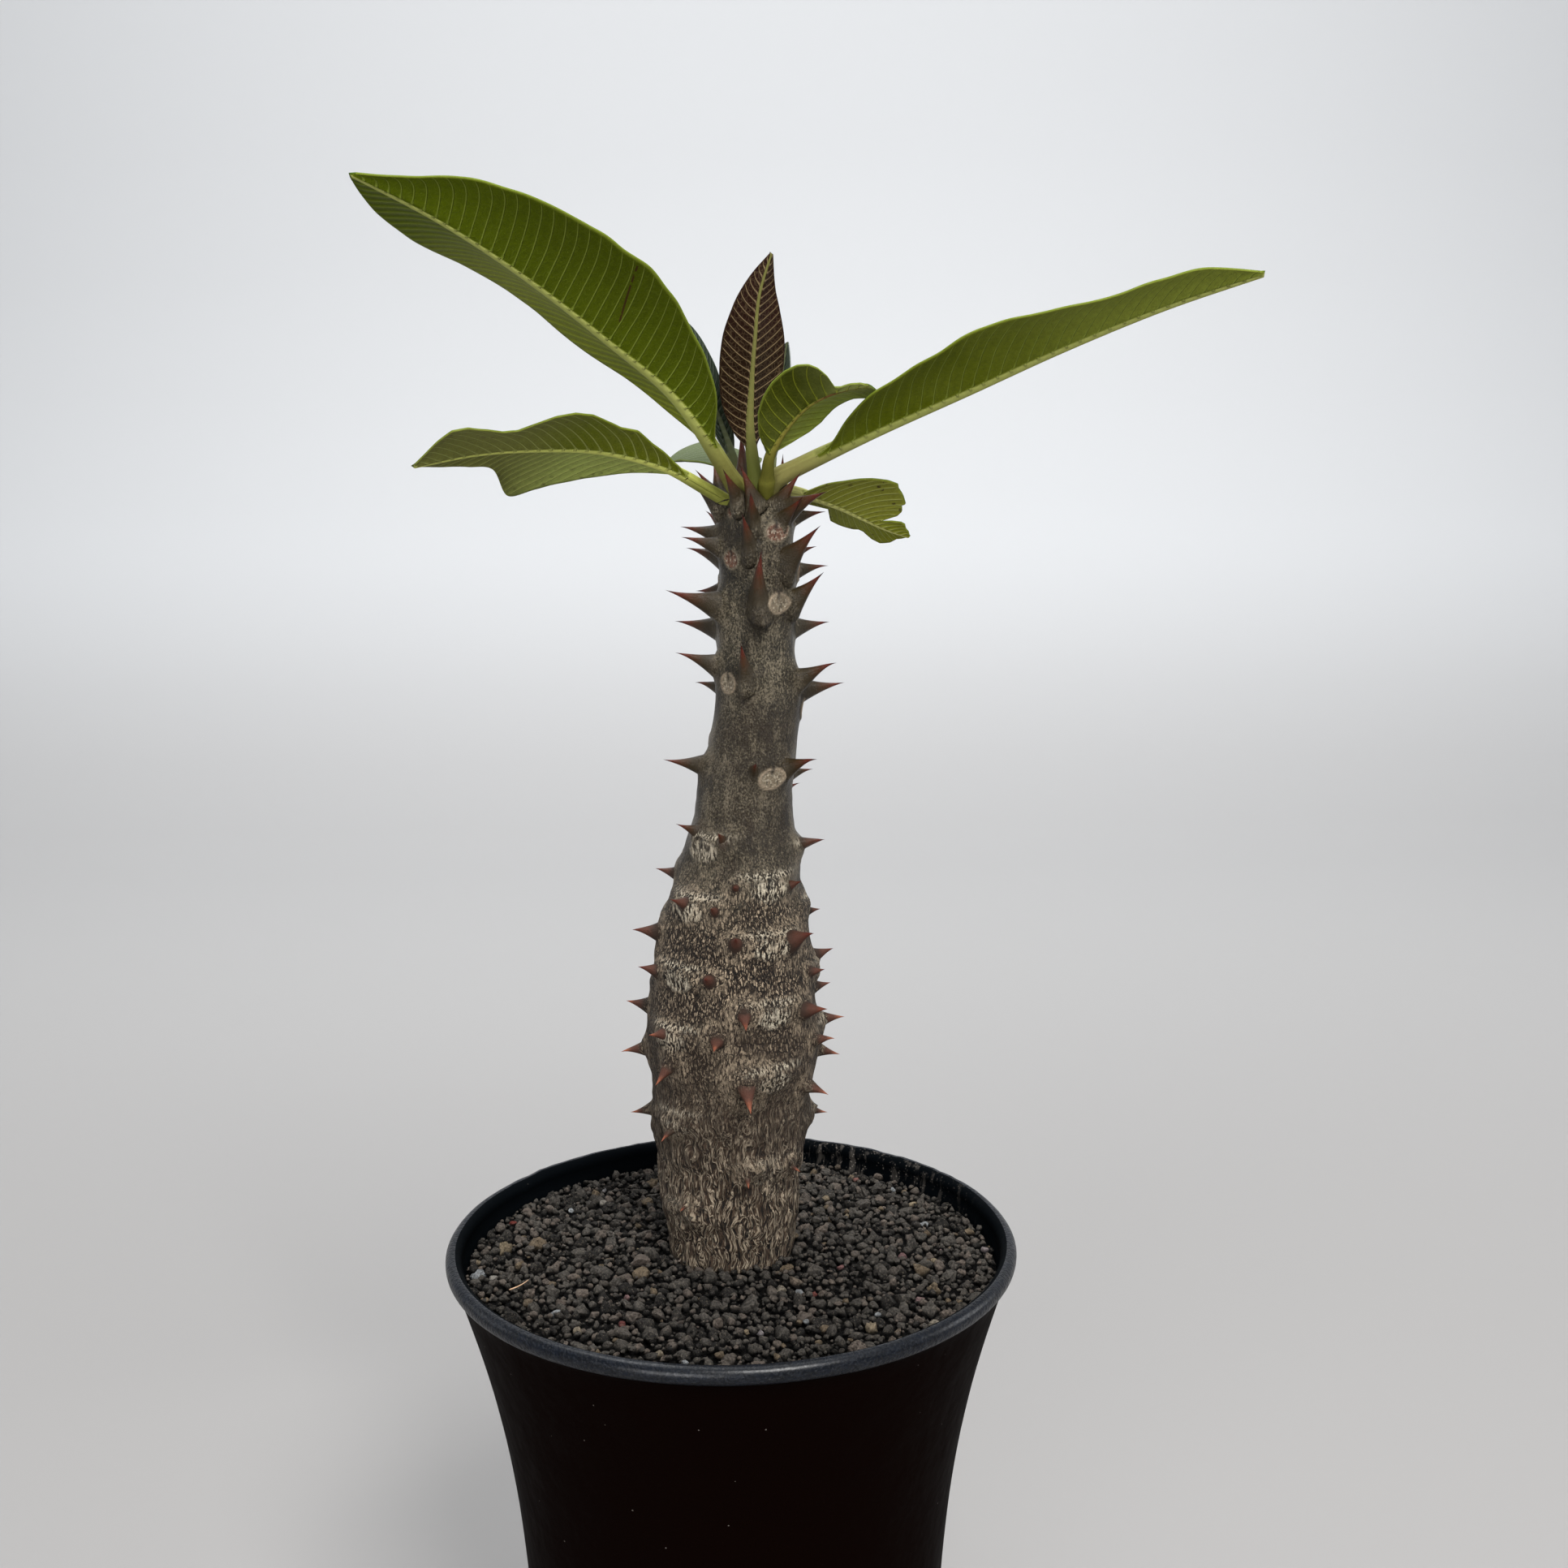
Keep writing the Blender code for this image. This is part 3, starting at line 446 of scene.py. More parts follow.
    def ramp(self, share: Value, stops: list[tuple[float, Colour]]) -> Socket:
        """A colour from a scale of colours."""
        return self.node("ShaderNodeValToRGB", {"stops": stops}, {"Fac": share}).outputs[0]

    def bump(self, height: Value, depth: float, below: Socket | None = None) -> Socket:
        """Relief that the light shows.

        Args:
            height: The relief's height, from 0 to 1.
            depth: How many metres a height of 1 is.
            below: The relief that it lies on.

        Returns:
            The surface direction.
        """
        inputs = {"Height": height, "Distance": depth, "Strength": 1.0}
        if below is not None:
            inputs["Normal"] = below
        return self.node("ShaderNodeBump", {}, inputs).outputs[0]

    def finish(
        self, colour: object, rough: object, normal: object = None, **others: object
    ) -> Material:
        """Feeds the shader.

        Args:
            colour: The base colour.
            rough: The roughness.
            normal: The relief, if there is one.
            others: Other sockets, their names written with underscores.

        Returns:
            The material.
        """
        inputs = {"Base Color": colour, "Roughness": rough}
        if normal is not None:
            inputs["Normal"] = normal
        inputs |= {name.replace("_", " "): value for name, value in others.items()}
        for name, value in inputs.items():
            self.feed(self.shader.inputs[name], value)
        return self.material


class Slot(Enum):
    """The record's material slots."""

    POT = "pot_plastic"
    GRAVEL = "gravel"
    BARK = "bark"
    GREEN = "leaf_green"
    BROWN = "leaf_young_brown"
    GREY = "leaf_young_grey"


def link(name: str, data: bpy.types.ID) -> bpy.types.Object:
    """Adds an object to the scene.

    Args:
        name: Its name.
        data: Its mesh, light or camera.

    Returns:
        The object.
    """
    made = bpy.data.objects.new(name, data)
    bpy.context.scene.collection.objects.link(made)
    return made


def as_mesh(name: str, shape: Shape) -> bpy.types.Mesh:
    """Turns a shape into a mesh.

    Args:
        name: The mesh's name.
        shape: The shape, which is used up.

    Returns:
        The mesh.
    """
    mesh = bpy.data.meshes.new(name)
    shape.to_mesh(mesh)
    shape.free()
    return mesh


def add_piece(
    name: str, shape: Shape, material: Material, node: str | None = None
) -> bpy.types.Object:
    """Turns a finished shape into a piece that rides with the pot.

    Args:
        name: The piece's name.
        shape: Its mesh, which is used up.
        material: Its finish.
        node: The CAD node that the piece replaces, if it does.

    Returns:
        The piece.
    """
    mesh = as_mesh(name, shape)
    mesh.shade_smooth()
    mesh.materials.append(material)
    piece = link(name, mesh)
    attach(piece, "root")
    if node:
        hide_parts(node)
    log.info("%s: %d triangles", name, sum(len(face.vertices) - 2 for face in mesh.polygons))
    return piece


def gather(shapes: Iterable[Shape]) -> Shape:
    """Puts several shapes into one.

    Args:
        shapes: The shapes, which are used up.

    Returns:
        The one shape.
    """
    whole = bmesh.new()
    for shape in shapes:
        mesh = as_mesh("part", shape)
        whole.from_mesh(mesh)
        bpy.data.meshes.remove(mesh)
    return whole


class Skin:
    """A closed skin made from one grid, which is wrapped round and joined along its seam."""

    def __init__(self, around: int, along: int) -> None:
        """Starts with a flat grid.

        Args:
            around: How many faces go once round.
            along: How many rows of faces there are from foot to tip.
        """
        self.around = around
        self.along = along
        self.shape = bmesh.new()
        bmesh.ops.create_grid(self.shape, x_segments=around, y_segments=along, size=0.5)
        flat = np.array([vert.co[:2] for vert in self.shape.verts]) + 0.5
        self.column = np.rint(flat[:, 0] * around).astype(int)
        self.row = np.rint(flat[:, 1] * along).astype(int)

    def wrap(self, points: Array, numbers: dict[str, Array], pointed_tip: bool = True) -> Shape:
        """Moves the grid's points to their places and closes the skin.

        Args:
            points: Places of all points, by row and column.
            numbers: Numbers for the points to carry, by name, each by row and column.
            pointed_tip: Whether the last row meets in one point, or else is filled with a face.

        Returns:
            The closed shape.
        """
        layers = self.shape.verts.layers.float
        for name in numbers:
            layers.new(name)
        verts = list(self.shape.verts)
        cells = (self.row, self.column % self.around)
        for vert, place in zip(verts, points[cells].tolist()):
            vert.co = place
        for name, values in numbers.items():
            layer = layers[name]
            for vert, value in zip(verts, values[cells].tolist()):
                vert[layer] = value
        by_place = {(int(r), int(c)): vert for r, c, vert in zip(self.row, self.column, verts)}
        targets = {by_place[r, self.around]: by_place[r, 0] for r in range(self.along + 1)}
        if pointed_tip:
            tip = by_place[self.along, 0]
            targets |= {by_place[self.along, c]: tip for c in range(1, self.around + 1)}
        bmesh.ops.weld_verts(self.shape, targetmap=targets)
        open_edges = [edge for edge in self.shape.edges if edge.is_boundary]
        bmesh.ops.holes_fill(self.shape, edges=open_edges, sides=0)
        bmesh.ops.recalc_face_normals(self.shape, faces=self.shape.faces)
        return self.shape


@dataclass(frozen=True)
class BeadFinish:
    """Satin plastic with a blue cast and the pebbled skin of the bead. Zones are heights in millimetres."""

    colour: Colour = tint(6, 12, 22)
    scuff: Colour = tint(36, 39, 43)
    line_zone: tuple = (115.9, 115.3)
    crest_zone: tuple = (119.98, 119.1)
    flank_zone: tuple = (115.2, 118.0)

    def make(self) -> Material:
        """Makes the material.

        Returns:
            The material.
        """
        paint = Paint("black_plastic_bead")
        height = paint.height()
        smears = paint.cloud(paint.place(1.0, 0.5), 0.35, 4.0, 0.6)
        scrapes = paint.cloud(paint.place(0.5, 3.0), 1.2, 3.0, 0.7)
        colour = paint.mix(smears.step(0.35, 0.7), blend(self.colour, BLACK, 0.5), self.colour)
        colour = paint.mix(scrapes.step(0.60, 0.72) * 0.35, colour, self.scuff)
        line = height.step(*self.line_zone) * smears.step(0.38, 0.55)
        colour = paint.mix(line * 0.7, colour, self.scuff)
        pebble = paint.cloud(paint.place(), 1.5, 1.0).step(0.34, 0.68)
        normal = paint.bump(smears, 0.0004, paint.bump(pebble, 0.00030))
        sheen = height.step(*self.crest_zone) * (height.step(*self.flank_zone) * 0.65 + 0.35)
        coat = sheen * (pebble * 0.45 + 0.55) * 0.55
        rough = 0.36 + 0.16 * smears
        return paint.finish(
            colour, rough, normal, Specular_IOR_Level=0.10, Coat_Weight=coat, Coat_Roughness=0.30
        )


@dataclass(frozen=True)
class WallFinish:
    """Warm near-black plastic of the wall, with a mineral crust inside at the back."""

    colour: Colour = tint(7, 2, 1)
    inner: Colour = tint(4, 6, 8)
    mineral: Colour = tint(110, 104, 98)

    def make(self) -> Material:
        """Makes the material.

        Returns:
            The material.
        """
        paint = Paint("black_plastic_wall")
        place = paint.place()
        inside = paint.number("inside")
        rows = paint.cloud(paint.place(1.0, 5.0), 0.5, 4.0, 0.6)
        colour = paint.mix(inside, self.colour, self.inner)
        dots = paint.cells(paint.bend(place, 0.8, 0.8), 1.3).step(0.30, 0.12)
        stained = dots * 0.8 + rows.step(0.52, 0.66) * 0.3
        crust = inside * paint.number("crust") * stained * rows.step(0.42, 0.6)
        colour = paint.mix(crust, colour, self.mineral)
        flecks = paint.cells(place, 0.21).step(0.045, 0.03)
        colour = paint.mix(flecks * 0.5, colour, self.mineral)
        normal = paint.bump(paint.cloud(place, 0.09, 3.0), 0.0006)
        normal = paint.bump(paint.cloud(place, 2.4, 1.0), 0.00002, normal)
        return paint.finish(colour, 0.50 + 0.20 * rows + 0.2 * crust, normal, Specular_IOR_Level=0.01)


def wall_radius(height: float) -> float:
    """Inner radius of the pot's wall at a height."""
    return float(np.interp(height, WALL_HEIGHTS, WALL_RADII)) - POT_WALL


@dataclass
class Pot:
    """The flared pot with its round bead, its worn rim, its flat floor and its drain holes."""

    sides: int = 192
    wall_rings: int = 30
    foot_chamfer: float = 0.0012
    bead_width: float = 0.0034
    bead_height: float = 0.0038
    bead_top: float = 0.1195
    bead_start: float = -74.0
    bead_turn: float = 284.0
    bead_steps: int = 26
    inner_share: float = 0.45
    skin_share: float = 0.62
    sway: float = 0.002
    sag: float = 0.00016
    worn: float = 0.00004
    worn_back: float = 0.00022
    back_from: float = 120.0
    crust_foot: float = 0.100
    crust_azimuth: float = 150.0
    crust_reach: float = 45.0
    drains: int = 4
    drain_radius: float = 0.0040
    drain_circle: float = 0.027
    drill_length: float = 0.01
    bead_finish: BeadFinish = BeadFinish()
    wall_finish: WallFinish = WallFinish()

    def outline(self) -> tuple[list[tuple[float, float]], int, int]:
        """The profile from the underside's centre round to the floor's centre.

        Returns:
            Radius and height of each point, the number of points before the bead, and before the inner wall.
        """
        heights = np.linspace(self.foot_chamfer, WALL_HEIGHTS[-1], self.wall_rings)
        radii = np.interp(heights, WALL_HEIGHTS, WALL_RADII)
        radii[2:-2] = (radii[:-4] + radii[1:-3] + radii[2:-2] + radii[3:-1] + radii[4:]) / 5
        points = [(0.0, 0.0), (float(radii[0]) - self.foot_chamfer, 0.0)]
        points += [(float(r), float(z)) for r, z in zip(radii, heights)]
        before_bead = len(points)
        half_width, half_height = self.bead_width / 2, self.bead_height / 2
        for step in range(self.bead_steps + 1):
            angle = math.radians(self.bead_start + self.bead_turn * step / self.bead_steps)
            out = RIM_RADIUS - half_width + half_width * math.cos(angle)
            points.append((out, self.bead_top - half_height + half_height * math.sin(angle)))
        before_inside = len(points)
        for height, radius in zip(heights[::-1], radii[::-1]):
            if POT_FLOOR < height < points[before_inside - 1][1]:
                points.append((float(radius) - POT_WALL, float(height)))
        points += [(points[-1][0], POT_FLOOR), (0.0, POT_FLOOR)]
        return points, before_bead, before_inside

    def build(self) -> None:
        """Spins the profile, wears the rim, drills the drain holes and dresses the pot."""
        shape = bmesh.new()
        inside = shape.verts.layers.float.new("inside")
        shape.verts.layers.float.new("crust")
        points, before_bead, before_inside = self.outline()
        row = [shape.verts.new((radius, 0.0, height)) for radius, height in points]
        for index, vert in enumerate(row):
            vert[inside] = float(index >= before_inside - self.bead_steps * self.inner_share)
        edges = [shape.edges.new(pair) for pair in zip(row, row[1:])]
        bmesh.ops.spin(
            shape, geom=row + edges, cent=(0, 0, 0), axis=(0, 0, 1), angle=2 * math.pi,
            steps=self.sides, use_merge=True,
        )
        bmesh.ops.remove_doubles(shape, verts=shape.verts, dist=1e-6)
        bmesh.ops.recalc_face_normals(shape, faces=shape.faces)
        bead_foot = min(height for _, height in points[before_bead:before_inside])
        for face in shape.faces:
            middle = face.calc_center_median()
            outer = math.hypot(middle.x, middle.y) > RIM_RADIUS - self.bead_width * self.skin_share
            face.material_index = 0 if outer and middle.z > bead_foot else 1
        self.wear(shape, bead_foot)
        piece = add_piece("pot_shell", shape, self.bead_finish.make(), "pot")
        piece.data.materials.append(self.wall_finish.make())
        self.drill(piece)

    def wear(self, shape: Shape, bead_foot: float) -> None:
        """Makes the rim a little uneven and marks where the crust lies.

        Args:
            shape: The spun pot.
            bead_foot: The lowest height of the bead.
        """
        crust = shape.verts.layers.float["crust"]
        places = np.array([vert.co[:] for vert in shape.verts])
        wobble = relief(places, (0.018, 0.018, 0.5), 3.7)
        nibble = relief(places, (0.0024, 0.0024, 0.5), 6.1)
        for vert, push, bite in zip(shape.verts, wobble.tolist(), nibble.tolist()):
            azimuth = math.degrees(math.atan2(vert.co.x, -vert.co.y))
            if vert.co.z > self.crust_foot:
                vert[crust] = max(0.0, 1.0 - abs(azimuth - self.crust_azimuth) / self.crust_reach)
            if vert.co.z > bead_foot:
                vert.co.x *= 1 + push * self.sway
                vert.co.y *= 1 + push * self.sway
                worn = self.worn_back if abs(azimuth) > self.back_from else self.worn
                vert.co.z += push * self.sag + bite * worn

    def drill(self, piece: bpy.types.Object) -> None:
        """Cuts the drain holes through the floor.

        Args:
            piece: The pot.
        """
        bits = bmesh.new()
        for hole in range(self.drains):
            angle = 2 * math.pi * (hole + 0.5) / self.drains
            place = Vector((math.cos(angle), math.sin(angle), 0.0)) * self.drain_circle
            bmesh.ops.create_cone(
                bits, cap_ends=True, segments=32, radius1=self.drain_radius, radius2=self.drain_radius,
                depth=self.drill_length, matrix=Matrix.Translation(place),
            )
        for face in bits.faces:
            face.material_index = 1
        mesh = as_mesh("drill", bits)
        for material in piece.data.materials:
            mesh.materials.append(material)
        cutter = link("drill", mesh)
        cut = piece.modifiers.new("drains", "BOOLEAN")
        cut.operation, cut.object, cut.solver = "DIFFERENCE", cutter, "EXACT"
        graph = bpy.context.evaluated_depsgraph_get()
        drilled = bpy.data.meshes.new_from_object(piece.evaluated_get(graph))
        piece.modifiers.clear()
        piece.data = drilled
        bpy.data.objects.remove(cutter)


def bed_height(radius: Array) -> Array:
    """Mean height of the gravel at a distance from the axis."""
    share = fade(STEM_BED_RADIUS, RIM_INNER_RADIUS, radius)
    return BED_STEM_Z + (BED_EDGE_Z - BED_STEM_Z) * share**BED_FALL


@dataclass(frozen=True)
class GravelFinish:
    """Porous volcanic grains, most of them charcoal, a few brown, tan, pale grey or red."""

    # The bed's colour, near-black: painted shade for the gaps between the grains
    base: Colour = tint(16, 14, 13)
    dark: Colour = tint(42, 40, 38)
    charcoal: Colour = tint(82, 78, 73)
    umber: Colour = tint(106, 96, 88)
    brown: Colour = tint(112, 98, 80)
    tan: Colour = tint(138, 124, 102)
    pale: Colour = tint(146, 149, 151)
    red: Colour = tint(112, 52, 46)
    white: Colour = tint(215, 212, 202)
    dust: Colour = tint(132, 122, 108)

    def make(self) -> Material:
        """Makes the material.

        Returns:
            The material.
        """
        paint = Paint("volcanic_grains")
        place = paint.place()
        bands = (
            (0.04, 0.22, self.dark), (0.45, 0.66, self.charcoal), (0.88, 0.93, self.umber),
            (0.94, 0.964, self.brown), (0.968, 0.976, self.tan), (0.980, 0.991, self.pale),
            (0.993, 0.997, self.red),
        )
        stops = [(end, colour) for first, last, colour in bands for end in (first, last)]
        colour = paint.ramp(paint.number("tone"), [(0.0, self.base), *stops, (0.999, self.white)])
        rough_place = paint.bend(place, 1.4, 0.7)
        lumps = paint.cloud(rough_place, 1.5, 4.0, 0.62)
        pits = paint.cells(rough_place, 2.8).step(0.06, 0.34)
        deep = lumps.step(0.38, 0.52)
        # Painted shade: darker in the hollows of the relief and in its pits
        for hollow in (deep, pits):
            colour = paint.mix(hollow * 0.55 + 0.45, paint.dim(0.75, colour), colour)
        dust = paint.cloud(place, 2.6, 3.0, 0.6).step(0.52, 0.66)
        colour = paint.mix(dust * deep * 0.4, colour, self.dust)
        # Painted shade: each grain goes towards black on its lower part, and the bed, whose height is 0, goes
        # nearly black all over
        colour = paint.mix(paint.number("lift").step(-0.22, 0.58) * 0.95 + 0.05, BLACK, colour)
        normal = paint.bump(lumps + pits * 0.30, 0.0016)
        normal = paint.bump(paint.cloud(place, 6.0, 3.0), 0.00025, normal)
        return paint.finish(colour, 0.9, normal, Specular_IOR_Level=0.14)


@dataclass(frozen=True)
class GrainSize:
    """One size of grain: how many are tried and kept, their radii, how they lie and how fine they are."""

    name: str
    tries: int
    most_kept: int
    least: float
    most: float
    sunk: float
    spread: float
    splits: int


@dataclass
class Gravel:
    """The bed: an uneven base painted dark as the shade between the grains, and grains of four sizes laid on
    it without overlap.
    """

    seed: int = 23
    sides: int = 160
    rings: int = 40
    wall_steps: int = 10
    gap: float = 0.0003
    wall_top: float = 0.1125
    inner_edge: float = 0.0095
    base_drop: float = 0.0009
    base_relief: float = 0.0008
    base_grain: float = 0.0016
    overlap: float = 0.80
    wall_share: float = 0.9
    stem_share: float = 0.7
    small_bias: float = 1.6
    sizes: tuple[GrainSize, ...] = (
        GrainSize("large", 2600, 170, 0.0015, 0.0022, 0.15, 0.0005, 3),
        GrainSize("middle", 9000, 620, 0.0010, 0.0014, 0.0, 0.0006, 2),
        GrainSize("small", 16000, 1600, 0.00065, 0.00092, -0.2, 0.0007, 2),
        GrainSize("fine", 16000, 3200, 0.00042, 0.00062, -0.2, 0.0007, 1),
    )
    wave_counts: tuple = (1.3, 1.5, 2.2, 2.6, 3.6, 4.4, 5.2)
    wave_heights: tuple = (0.11, 0.11, 0.10, 0.10, 0.08, 0.08, 0.07)
    jitter: float = 0.10
    fullness: float = 1.12
    flats: int = 7
    fine_radius: float = 0.0007
    finish: GravelFinish = GravelFinish()

    def scatter(self) -> list[Array]:
        """Throws the grains, the large ones first.

        Returns:
            For each size, rows of X, Y and radius.
        """
        chance = np.random.default_rng(self.seed)
        taken = np.zeros((0, 3))
        found = []
        for size in self.sizes:
            start = len(taken)
            for _ in range(size.tries):
                if len(taken) - start >= size.most_kept:
                    break
                radius = size.least + (size.most - size.least) * chance.random() ** self.small_bias
                away = math.sqrt(chance.random()) * (wall_radius(BED_EDGE_Z) - radius * self.wall_share)
                angle = chance.random() * 2 * math.pi
                x, y = away * math.cos(angle), away * math.sin(angle)
                apart = np.hypot(taken[:, 0] - x, taken[:, 1] - y)
                blocked = np.any(apart < (taken[:, 2] + radius) * self.overlap)
                if not blocked and away >= STEM_BED_RADIUS + radius * self.stem_share:
                    taken = np.vstack([taken, (x, y, radius)])
            found.append(taken[start:])
        return found

    def carve(self, ball: Array, count: int, chance: np.random.Generator) -> Array:
        """Gives every grain its own form: a lumpy squashed ball with flats, turned at random.

        Args:
            ball: Points of a plain ball.
            count: How many grains there are.
            chance: Gives their irregularities.

        Returns:
            The points of each grain, for a radius of about 1.
        """
        waves = np.array(self.wave_counts)
        swing = chance.normal(size=(count, len(waves), 3)) * waves[None, :, None]
        phase = chance.random((count, len(waves))) * 2 * math.pi
        lumps = np.cos(np.einsum("vk,gwk->gvw", ball, swing) + phase[:, None, :])
        swell = 1.0 + (lumps * np.array(self.wave_heights)).sum(2)
        swell += chance.normal(size=swell.shape) * self.jitter
        depth, height = chance.uniform(0.72, 1.0, count), chance.uniform(0.6, 0.9, count)
        squash = np.stack([np.ones(count), depth, height], 1)
        points = ball[None] * swell[:, :, None] * squash[:, None, :] * self.fullness
        for _ in range(self.flats):
            face = unit(chance.normal(size=(count, 3)))
            past = np.einsum("gvk,gk->gv", points, face) - chance.uniform(0.52, 0.86, count)[:, None]
            points -= np.maximum(past, 0.0)[:, :, None] * face[:, None, :]
        turn = np.linalg.qr(chance.normal(size=(count, 3, 3)))[0]
        return np.einsum("gvk,gjk->gvj", points, turn)

    def build_grains(self, size: GrainSize, placed: Array, material: Material) -> None:
        """Makes all grains of one size as one piece.

        Args:
            size: What the grains are like.
            placed: Rows of X, Y and radius.
            material: Their finish.
        """
        count = len(placed)
        chance = np.random.default_rng(self.seed + size.splits * 7 + count)
        single = bmesh.new()
        bmesh.ops.create_icosphere(single, subdivisions=size.splits, radius=1.0)
        ball = np.array([vert.co[:] for vert in single.verts])
        shape = gather(single.copy() for _ in range(count))
        single.free()
        radius = placed[:, 2]
        points = self.carve(ball, count, chance)
        # Each point's height within its grain, from which the finish paints shade on the grain's lower part
        lift = points[:, :, 2].reshape(-1).tolist()
        points *= radius[:, None, None]
        level = bed_height(np.hypot(placed[:, 0], placed[:, 1]))
        level += chance.uniform(-1, 1, count) * size.spread - radius * size.sunk
        points += np.stack([placed[:, 0], placed[:, 1], level], 1)[:, None, :]
        tone = 0.05 + 0.95 * chance.random(count)
        plain = (tone > 0.95) & (radius < self.fine_radius) & (chance.random(count) < 0.7)
        tone = np.where(plain | ((tone > 0.997) & (radius > self.fine_radius)), 0.5, tone)
        tones, lifts = (shape.verts.layers.float.new(key) for key in ("tone", "lift"))
        values = zip(points.reshape(-1, 3).tolist(), np.repeat(tone, len(ball)).tolist(), lift)
        for vert, (place, value, rise) in zip(shape.verts, values):
            vert.co = place
            vert[tones], vert[lifts] = value, rise
        add_piece(f"gravel_{size.name}_grains", shape, material, "gravel").data.shade_flat()

    def build_bed(self, material: Material) -> None:
        """Makes the uneven base under the grains, down to the pot's floor.

        Args:
            material: Its finish.
        """
        floor = POT_FLOOR + self.gap
        profile = [(0.001, floor)]
        for height in np.linspace(floor, self.wall_top, self.wall_steps):
            profile.append((wall_radius(height) - self.gap, float(height)))
        rim = len(profile) + 1
        edge = wall_radius(BED_EDGE_Z) - self.gap
        for radius in np.linspace(edge, self.inner_edge, self.rings + 2):
            profile.append((float(radius), float(bed_height(radius)) - self.base_drop))
        radii, heights = np.array(profile).T[:, :, None]
        angles = np.linspace(0, 2 * math.pi, self.sides + 1)
        points = np.stack([radii * np.cos(angles), radii * np.sin(angles), heights + 0 * angles], 2)
        bumps = relief(points.reshape(-1, 3), (self.base_grain,) * 3, 5.2).reshape(points.shape[:2])
        points[rim:, :, 2] += bumps[rim:] * self.base_relief
        tone = np.zeros(points.shape[:2])
        skin = Skin(self.sides, len(profile) - 1)
        # The bed's tone and its height within a grain are both 0, which the finish paints as near-black shade
        shape = skin.wrap(points, {"tone": tone, "lift": tone}, pointed_tip=False)
        add_piece("gravel_bed", shape, material, "gravel")

    def build(self) -> None:
        """Makes the bed and the grains."""
        material = self.finish.make()
        self.build_bed(material)
        for size, placed in zip(self.sizes, self.scatter()):
            self.build_grains(size, placed, material)


@dataclass
class Straw:
    """The small dry straw that lies on the left of the bed. Its ends are in millimetres."""

    foot: tuple = (-45.3, -17.5, 116.2)
    tip: tuple = (-41.6, -14.5, 117.0)
    radius: float = 0.00016
    thinning: float = 0.6
    bow: float = 0.0004
    sides: int = 8
    rows: int = 12
    dark: Colour = tint(150, 112, 84)
    pale: Colour = tint(196, 166, 134)

    def build(self) -> None:
        """Makes the straw, which bows a little and gets thinner."""
        foot, tip = np.array(self.foot) / 1000, np.array(self.tip) / 1000
        shares = np.linspace(0, 1, self.rows + 1)[:, None]
        angles = np.linspace(0, 2 * math.pi, self.sides + 1)[:, None]
        way = unit(tip - foot)
        side = unit(np.cross(way, (0.0, 0.0, 1.0)))
        centre = foot + (tip - foot) * shares + side * self.bow * np.sin(math.pi * shares)
        ring = np.cos(angles) * side + np.sin(angles) * np.cross(side, way)
        points = centre[:, None] + (self.radius * (1 - self.thinning * shares))[:, None] * ring
        paint = Paint("dry_straw")
        colour = paint.mix(paint.cloud(paint.place(), 2.0, 3.0), self.dark, self.pale)
        shape = Skin(self.sides, self.rows).wrap(points, {})
        add_piece("straw", shape, paint.finish(colour, 0.7))


@dataclass(frozen=True)
class Spine:
    """One spine: its foot inside the stem, its tip, and where and how far it stands out."""

    root: Array
    tip: Array
    azimuth: float
    height: float
    length: float
    crowned: bool = False


@dataclass(frozen=True)
class Scar:
    """One leaf scar: its place on the stem, and half its width and height."""

    azimuth: float
    height: float
    half_width: float
    half_height: float


def stem_axis(height: float) -> Array:
    """The point of the stem's leaning axis at a height."""
    heights, leans, _ = np.array(STEM_STATIONS).T / 1000
    return np.array((np.interp(height, heights, leans), 0.0, height))


def stem_radius(height: float) -> float:
    """The stem's mean radius at a height."""
    heights, _, radii = np.array(STEM_STATIONS).T / 1000
    return float(np.interp(height, heights, radii))


